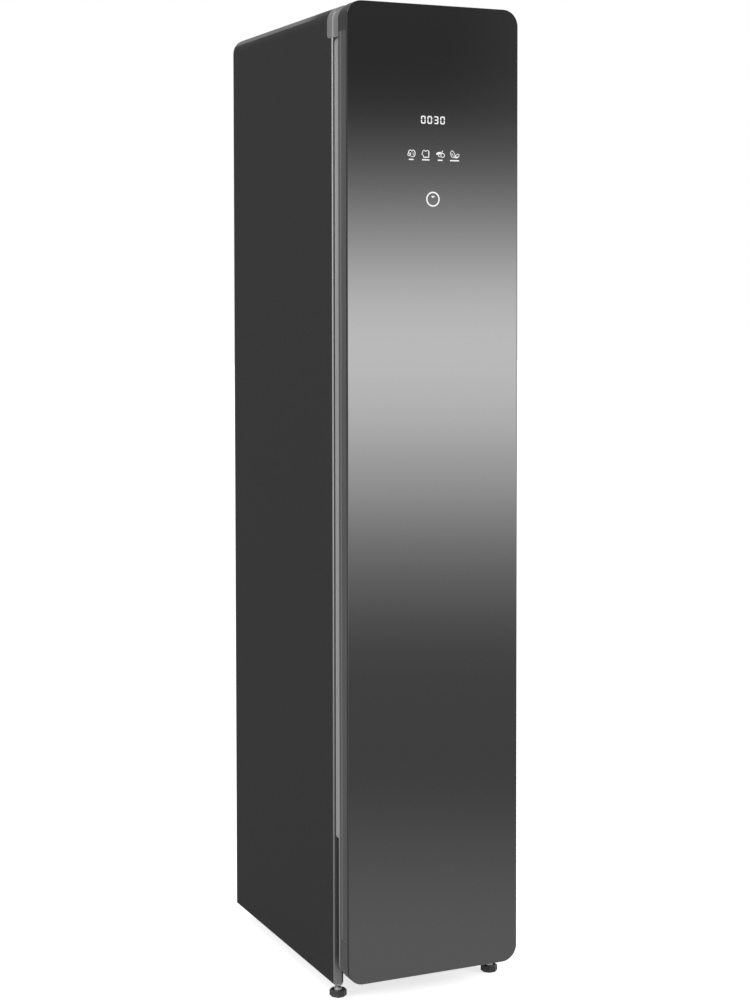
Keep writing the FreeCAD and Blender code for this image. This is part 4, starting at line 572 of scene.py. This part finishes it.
inlet_finish = Finish("inlet_nylon_and_brass", IOR=1.5)
inlet_low, inlet_high = (np.array(place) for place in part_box("power_inlet"))
inlet_mid = (inlet_low + inlet_high) / 2
pins_half_width, pins_half_height, socket_depth, pins_drop = 9.4 * MM, 2.7 * MM, 19 * MM, 2.5 * MM
pins = ((abs(inlet_finish.axis("X") - float(inlet_mid[0])) < pins_half_width)
        * (abs(inlet_finish.axis("Z") - float(inlet_mid[2] - pins_drop)) < pins_half_height)
        * (inlet_finish.axis("Y") > float(inlet_high[1] - socket_depth)))
inlet_grain = inlet_finish.noise(900, 2)
inlet_black = inlet_finish.mix(inlet_grain, grey(26), grey(36))
inlet_finish.set(Base_Color=inlet_finish.mix(pins, inlet_black, grey(205, (1, 0.78, 0.4))),
                 Metallic=pins, Roughness=0.42 - pins * 0.2 + (inlet_grain - 0.5) * 0.1)
dress(inlet_finish, "power_inlet")


# ---------------------------------------------------------------- door frame: caps and edge profiles
# Moulded ABS end caps and extruded side profiles behind the glass, dark grey with a fine matt grain. Painted
# shade darkens the top cap; a painted highlight runs along the profiles' lip at the step in their side and
# along the bottom cap's joint, over a band of painted shade for a shallow groove.

profile_plastic = Finish("profile_plastic", IOR=1.48)
profile_drift = grained(profile_plastic, 0.42)
profile_depth = profile_plastic.axis("Y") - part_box("door_profile_left")[1][1]
lip_front, lip_back = -20 * MM, -15.05 * MM
# Painted highlight: a paler band along the lip at the step in the profiles' side.
lip_highlight = (profile_depth > lip_front) * (profile_depth < lip_back)
profile_grey = profile_plastic.mix(profile_drift, grey(89), grey(94))
profile_plastic.set(Base_Color=profile_plastic.mix(lip_highlight, profile_grey, grey(130)))
# Painted shade: the top cap is the caps' plastic in a darker grey.
top_cap_shaded_plastic = moulding("top_cap_shaded_plastic", 66, 0.42, spread=0.02)
bottom_cap_plastic = Finish("bottom_cap_plastic", IOR=1.48)
bottom_cap_drift = grained(bottom_cap_plastic, 0.42)
below_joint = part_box("door_bottom_cap")[1][2] - bottom_cap_plastic.axis("Z")
joint_width, groove_width = 1.6 * MM, 4 * MM
# Painted highlight along the bottom cap's joint, and under it a band of painted shade for a shallow groove.
joint_highlight = below_joint < joint_width
groove_shade = (below_joint < joint_width + groove_width) * (1 - joint_highlight)
bottom_cap_grey = bottom_cap_plastic.mix(bottom_cap_drift, grey(90), grey(94))
bottom_cap_grey = bottom_cap_plastic.mix(groove_shade, bottom_cap_grey, grey(80))
bottom_cap_plastic.set(Base_Color=bottom_cap_plastic.mix(joint_highlight, bottom_cap_grey, grey(118)))
dress(profile_plastic, "door_profile_left", "door_profile_right")
dress(top_cap_shaded_plastic, "door_top_cap")
dress(bottom_cap_plastic, "door_bottom_cap")


# ---------------------------------------------------------------- door glass
# Four millimetre float glass with a dark mirror coating on its back. Its edge is ground, and a narrow darker
# band down both sides of its face is a painted reflection of a bevel, painted weaker towards the floor.

mirror = Finish("mirror_glass", Metallic=1.0)
glass_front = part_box("door_glass")[0][1]
bevel_inner, bevel_outer = side_x - 1.8 * MM, side_x - 1.2 * MM
# Painted reflection: a darker band for a bevel along both sides, weaker towards the floor.
painted_bevel = mirror.soft(abs(mirror.axis("X")), bevel_inner, bevel_outer)
painted_bevel = painted_bevel * (0.3 + mirror.soft(mirror.axis("Z"), 750 * MM, 1100 * MM) * 0.7)
ground_edge = mirror.soft(mirror.axis("Y"), glass_front + 0.02 * MM, glass_front + 0.3 * MM)
edge = ground_edge + painted_bevel * (1 - ground_edge)
ripple = mirror.noise(3, 2)
mirror.set(Base_Color=mirror.mix(edge, grey(215), grey(76)), Roughness=0.028 + ripple * 0.004 + edge * 0.3,
           Normal=mirror.bump(ripple, 0.01, 0.0004))
dress(mirror, "door_glass")


# ---------------------------------------------------------------- display
# Light-emitting segments, signs and a touch ring, printed and lit behind the glass: a clock with four digits,
# four programme signs over plain bars, and a round touch field. Its board stands in the door behind them.

glow_white = Finish("display_light", Base_Color=(0.02, 0.02, 0.02, 1), Roughness=0.4, Emission_Strength=1.0)
flicker = glow_white.noise(900, 1)
glow_white.set(Emission_Color=glow_white.mix(flicker, (0.93, 0.95, 0.97, 1), (1.0, 1.0, 1.0, 1)))
dress(board, "display_board")
glass_back = glass_front + 0.2 * MM
display_face = glass_front - 0.01 * MM


def stroke(path, width, closed=False):
    """A thin bar of a rectangular profile carried along a path of (x, z) points in millimetres: each point
    gives the path plus and minus half the width along its normal, at the front and at the back."""
    path = np.asarray(path, dtype=float) * MM
    if closed:
        tangent = np.roll(path, -1, axis=0) - np.roll(path, 1, axis=0)
    else:
        tangent = np.gradient(path, axis=0)
    normal = np.stack([-tangent[:, 1], tangent[:, 0]], axis=1)
    normal *= width * MM / 2 / np.linalg.norm(normal, axis=1)[:, None]
    rim = [(path + normal, display_face), (path - normal, display_face),
           (path - normal, glass_back), (path + normal, glass_back)]
    return np.stack([np.insert(points, 1, y, axis=1) for points, y in rim], axis=1)


def arc(x, z, radius, start, stop, count):
    """Points of a circular arc about (x, z), from start to stop in degrees."""
    angle = np.radians(np.linspace(start, stop, count))
    return list(zip(x + radius * np.cos(angle), z + radius * np.sin(angle)))


def circle(x, z, radius, count):
    """Points of a whole circle, without the last, which would repeat the first."""
    return arc(x, z, radius, 0, 360, count)[:-1]


def shifted(path, x, z):
    """The path, moved by x and z."""
    return [(point[0] + x, point[1] + z) for point in path]


# The display's places and sizes are in millimetres.
middle_x, clock_z, sign_z, bar_z, ring_z = -2.0, 1639.2, 1577.0, 1565.8, 1493.8
digit_half, digit_rise, digit_bend, digit_gap, digit_stroke = 3.6, 6.1, 1.6, 0.6, 2.1
digit_pitch, sign_pitch, dot_width, dot_stroke, bar_stroke = 13.15, 29.6, 1.0, 0.8, 2.2
ring_radius, ring_stroke = 12.5, 2.5


def digit_arch(side, open_left):
    """The upper (side 1) or lower (side -1) arch of a digit, open on its left for a three."""
    arch = arc(digit_half - digit_bend, digit_rise - digit_bend, digit_bend, 90, 0, 6)
    arch.append((digit_half, digit_gap))
    if open_left:
        arch = [(-digit_half, digit_rise), (0, digit_rise)] + arch
    else:
        shoulder = arc(digit_bend - digit_half, digit_rise - digit_bend, digit_bend, 180, 90, 6)
        arch = [(-digit_half, digit_gap)] + shoulder + arch
    return [(x, z * side) for x, z in arch]


digits = []
for position, figure in enumerate("0030"):
    x = middle_x + (position - 1.5) * digit_pitch
    for side in (1, -1):
        digits.append(stroke(shifted(digit_arch(side, figure == "3"), x, clock_z), digit_stroke))
    if figure == "3":
        digits.append(stroke([(x - 2.6, clock_z), (x, clock_z), (x + 3.0, clock_z)], digit_stroke))
for dot_z in (clock_z - 3.2, clock_z + 3.1):
    digits.append(stroke([(middle_x, dot_z), (middle_x + dot_width, dot_z)], dot_stroke))
woven("clock_digits", digits, glow_white, "door")

# A sign is a list of strokes, each a path about the sign's own middle and a width.
jacket = [([(-1.7, 6.4), (-4.5, 4.4), (-5.6, 0.9)], 1.5), ([(-1.4, 6.4), (1.4, 3.7), (4.2, 6.5)], 1.3),
          ([(4.8, 6.2), (7.3, 3.4), (8.1, -0.6), (7.0, -4.2), (5.1, -6.0)], 1.5),
          ([(-0.9, 1.6), (-1.1, -4.0)], 1.0), ([(3.6, 1.8), (4.4, -3.6)], 0.8),
          ([(-1.1, -6.0), (5.1, -6.2)], 1.1)]
coat = [([(6.2, 5.4), (6.3, -1.0), (6.0, -6.3), (-0.5, -6.6), (-4.6, -6.6)], 1.9),
        ([(-4.6, -6.2), (-5.0, -3.4), (-8.2, -0.6), (-6.5, 1.4), (-6.4, 4.2), (-3.4, 6.4), (0.0, 4.1),
          (2.8, 6.4), (5.6, 5.6)], 1.3)]
iron = [([(-8.0, 0.2), (1.1, 1.4)], 3.1), ([(-5.4, 2.8), (3.0, 3.5)], 1.5),
        ([(5.2, 7.0), (4.4, 4.6), (3.7, 2.6)], 1.1), ([(-4.4, -1.8), (-2.4, -4.4), (0.2, -5.2)], 1.3)]
leaves = [([(-5.4, -0.6), (-5.0, 2.6)], 0.8), ([(-4.9, 1.0), (-1.5, -3.6)], 1.0),
          ([(1.4, -4.9), (7.2, -4.2)], 1.7)]
jacket_loops = [(circle(-4.5, -2.1, 2.3, 17), 1.4)]
iron_loops = [(circle(5.0, -2.1, 3.7, 21), 1.3)]
leaf_loops = [([(-5.4, 7.2), (-7.9, 4.2), (-8.2, 0.0), (-5.8, -4.5), (-1.0, -6.0), (1.0, -3.2), (0.4, 1.2),
                (-2.2, 5.2)], 1.2),
              ([(0.9, -4.6), (3.2, -0.8), (6.9, 1.2), (9.4, 0.2), (9.1, -3.1), (6.0, -5.6),
                (2.2, -6.2)], 1.2)]
signs = ((jacket, jacket_loops, 4.7), (coat, [], 7.5), (iron, iron_loops, 4.8), (leaves, leaf_loops, 9.4))
open_marks, closed_marks = [], []
for position, (lines, loops, bar_half) in enumerate(signs):
    x = middle_x + (position - 1.5) * sign_pitch
    open_marks += [stroke(shifted(line, x, sign_z), width) for line, width in lines]
    open_marks.append(stroke([(x - bar_half, bar_z), (x + bar_half, bar_z)], bar_stroke))
    closed_marks += [stroke(shifted(line, x, sign_z), width, True) for line, width in loops]
woven("programme_signs", open_marks, glow_white, "door")
woven("programme_loops", closed_marks, glow_white, "door", along=True)

touch_ring = stroke(circle(middle_x, ring_z, ring_radius, 65), ring_stroke, True)
woven("touch_ring", [touch_ring], glow_white, "door", along=True)
touch_mark = [stroke([(middle_x - 3.4, ring_z + 5.1), (middle_x + 3.2, ring_z + 5.1)], 1.7),
              stroke([(middle_x - 1.5, ring_z + 3.5), (middle_x + 1.5, ring_z + 3.5)], 1.6)]
woven("touch_mark", touch_mark, glow_white, "door")


# ---------------------------------------------------------------- door gasket
# An extruded bellows of soft PVC with a magnet strip in its nose, welded at the corners and pushed into the
# door liner all round.

gasket_rubber = moulding("gasket_rubber", 168, 0.5, grain=1800, depth=0.1, spread=0.02)
seal_low, seal_high = (np.array(place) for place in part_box("door_gasket"))
seal_width = 14 * MM


def rounded_loop(y, inset, top_radius=20 * MM, low_radius=8 * MM, lean=7 * MM, foot=2.4 * MM, bend=0.8 * MM):
    """A rounded rectangle at the depth y, inset from the gasket's outer edge: four arcs joined by straight
    runs, with radii that shrink with the inset. On the hinge side the outer edge leans inwards by the lean
    within a short bend behind the foot, and the inset is stretched so that the inner edge stays straight."""
    shift = lean * np.clip((y - seal_low[1] - foot) / bend, 0, 1)
    left, right = seal_low[0] + inset, seal_high[0] - shift - inset * (1 + (lean - shift) / seal_width)
    low, top = seal_low[2] + inset, seal_high[2] - inset
    corners = [(right, top, 0, top_radius), (left, top, 90, top_radius),
               (left, low, 180, low_radius), (right, low, 270, low_radius)]
    loop = []
    for x, z, start, outer in corners:
        radius = max(outer - inset, 0.8 * MM)
        angle = np.radians(np.linspace(start, start + 90, 10))
        centre_x = x - radius if x == right else x + radius
        centre_z = z - radius if z == top else z + radius
        loop.append(np.stack([centre_x + radius * np.cos(angle), 0 * angle + y,
                              centre_z + radius * np.sin(angle)], axis=1))
    return np.concatenate(loop)


def bellows(valley=0.42):
    """The gasket's section runs out along one side and back along the other. Its half width swings between
    the full width and the valleys as a cosine of the depth, with two pleats, and is square at the nose."""
    depth = np.linspace(0, 1, 19)
    half = seal_width / 2 * (valley + (1 - valley) * (1 + np.cos(4 * math.pi * depth)) / 2)
    y = seal_low[1] + depth * (seal_high[1] - seal_low[1])
    insets = np.concatenate([seal_width / 2 - half, (seal_width / 2 + half)[::-1]])
    depths = np.concatenate([y, y[::-1]])
    return np.stack([rounded_loop(y, inset) for y, inset in zip(depths, insets)], axis=0)


gasket = woven("gasket_bellows", [bellows()], gasket_rubber, "door", along=True)
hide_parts("door_gasket")
dress(gasket_rubber, "door_gasket")


# ---------------------------------------------------------------- door hinges
# Ground steel brackets at the top and the bottom, each screwed to the front of the cabinet with two pan head
# screws. The upright pin on each of them turns in an acetal bush in the door's cap.

dress(ground_steel, "hinge_bracket_top", "hinge_bracket_bottom")
dress(acetal, "hinge_bushes")
plate_gauge, screw_edge, screw_rise = 2.5 * MM, 6.5 * MM, 8 * MM
head_radius, head_height = 3.2 * MM, 1.6 * MM
hinge_screws = []
for name in ("hinge_bracket_top", "hinge_bracket_bottom"):
    low, high = (np.array(place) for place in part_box(name))
    middle = (low + high) / 2
    for rise in (-screw_rise, screw_rise):
        place = (low[0] + screw_edge, high[1] - plate_gauge, middle[2] + rise)
        hinge_screws.append(pan_head(place, (0.0, -1.0, 0.0), head_radius, head_height))
woven("hinge_screws", hinge_screws, screw_zinc, "cabinet")


# ---------------------------------------------------------------- trouser press
# A polypropylene plate on the inside of the door, with an ear at each end for the pins of a slotted flap that
# swings out. Two clips on the flap hold the hems.

press_plastic = moulding("press_plastic", 150, 0.4, (0.98, 1, 1.02), 1000, 0.2)
dress(press_plastic, "press_back_plate", "press_flap")
dress(basket_plastic, "press_clips")


# ---------------------------------------------------------------- studio: floor, lights, surroundings, camera
# A pale floor, three soft boxes and a pale room. The surroundings darken towards the ceiling and the floor,
# which is what the door's mirror shows.

reach = 30
floor_mesh = bpy.data.meshes.new("studio_floor")
floor_mesh.from_pydata([(-reach, -reach, 0), (reach, -reach, 0), (reach, reach, 0), (-reach, reach, 0)], [],
                       [(0, 1, 2, 3)])
floor = bpy.data.objects.new("studio_floor", floor_mesh)
bpy.context.collection.objects.link(floor)
floor_paint = Finish("floor_paint", Base_Color=(0.9, 0.9, 0.9, 1), Roughness=0.9, Emission_Color=(1, 1, 1, 1))
camera_ray = floor_paint.add("ShaderNodeLightPath", {}, {}, "Is Camera Ray")
floor_paint.set(Emission_Strength=camera_ray * 0.7)
floor_mesh.materials.append(floor_paint.material)
floor.visible_glossy = False
floor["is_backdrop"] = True


def softbox(name, place, aim, width, height, watts):
    """A rectangular area lamp at a place, turned towards the point that it lights."""
    lamp = bpy.data.lights.new(name, "AREA")
    lamp.shape, lamp.size, lamp.size_y, lamp.energy = "RECTANGLE", width, height, watts
    holder = bpy.data.objects.new(name, lamp)
    direction = np.subtract(aim, place)
    yaw, reach = math.atan2(direction[0], direction[1]), math.hypot(direction[0], direction[1])
    holder.location = place
    holder.rotation_euler = (math.pi / 2 + math.atan2(direction[2], reach), 0, -yaw)
    bpy.context.collection.objects.link(holder)


softbox("key_light", (-0.7, -4.4, 3.4), (0, 0, 0.9), 1.8, 1.8, 70)
softbox("fill_light", (3.4, -2.4, 2.0), (0, 0, 0.9), 2.0, 2.4, 50)
softbox("edge_light", (-3.4, -0.7, 2.4), (0, -0.2, 1.2), 1.0, 2.0, 20)

world = bpy.data.worlds.new("studio")
bpy.context.scene.world = world
world.use_nodes = True


class Surroundings(Finish):
    """The world's own nodes, built with the same methods as a finish."""

    def __init__(self, shader_world):
        self.tree = shader_world.node_tree
        self.shader = self.tree.nodes["Background"]
        self.place = self.add("ShaderNodeTexCoord", {}, {}, "Generated")


def tone(value):
    """A neutral colour of a linear value, above 1 where it is a light."""
    return (value, value, value, 1)


# What a mirror ray meets: a band of light ahead of the door, a bright window at its left, and a pale wall
# behind. The band's stops run upwards from 0.4 below the horizon, as the height of the ray's direction.
sky = Surroundings(world)
left, ahead, lift = 0 - sky.axis("X"), 0 - sky.axis("Y"), sky.axis("Z")
band_drop, band_span = 0.4, 0.55
band_stops = ((0.0, 0.134), (0.096, 0.133), (0.141, 0.138), (0.187, 0.119), (0.230, 0.095), (0.274, 0.069),
              (0.327, 0.075), (0.382, 0.072), (0.437, 0.125), (0.503, 0.242), (0.579, 0.542), (0.626, 0.660),
              (0.674, 0.742), (0.722, 0.656), (0.770, 0.434), (0.827, 0.187), (0.883, 0.063), (0.920, 0.041),
              (0.948, 0.034), (0.985, 0.036))
band = sky.add("ShaderNodeValToRGB", {"stops": [(stop, tone(value)) for stop, value in band_stops]},
               {0: (lift + band_drop) * (1 / band_span)})
corner_light = sky.soft(0 - left, 0.435, 0.50) * sky.soft(lift, 0.06, 0.11) * 0.02
band = sky.add("ShaderNodeMix", {"data_type": "RGBA", "blend_type": "ADD"},
               {0: corner_light, 6: band, 7: tone(1.0)}, 2)
facing = sky.soft(ahead, 0.3, 0.6)
window = sky.soft(left, 0.5, 0.65) * sky.soft(ahead, -0.15, 0.05) * sky.soft(lift, -0.45, 0.05)
wall = sky.soft(0 - ahead, 0.1, 0.5) * sky.soft(0 - left, -0.25, 0.05)
around = sky.mix(window, sky.mix(wall, tone(0.12), tone(0.62)), tone(1.3))
reflected = sky.mix(facing * (1 - window), around, band)
glossy = sky.add("ShaderNodeLightPath", {}, {}, "Is Glossy Ray")
camera_sees = sky.add("ShaderNodeLightPath", {}, {}, "Is Camera Ray")
ambient = sky.mix(glossy, (0.63, 0.63, 0.635, 1), reflected)
sky.set(Color=sky.mix(camera_sees, ambient, tone(1.0)), Strength=1.0)

camera = bpy.data.cameras.new("camera")
camera.lens, camera.sensor_width, camera.shift_y = 68.44, 36.0, -0.13
viewer = bpy.data.objects.new("camera", camera)
viewer.location = (-1.5427, -3.4652, 1.3183)
pitch, heading, tilt = math.radians(90 - 2.276), math.radians(-24.206), math.radians(-0.08)
level_aim = Euler((pitch, 0, heading)).to_matrix()
viewer.rotation_euler = (level_aim @ Matrix.Rotation(tilt, 3, "Z")).to_euler()
bpy.context.collection.objects.link(viewer)
bpy.context.scene.camera = viewer
bpy.context.scene.view_settings.view_transform = "Standard"

low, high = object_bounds()
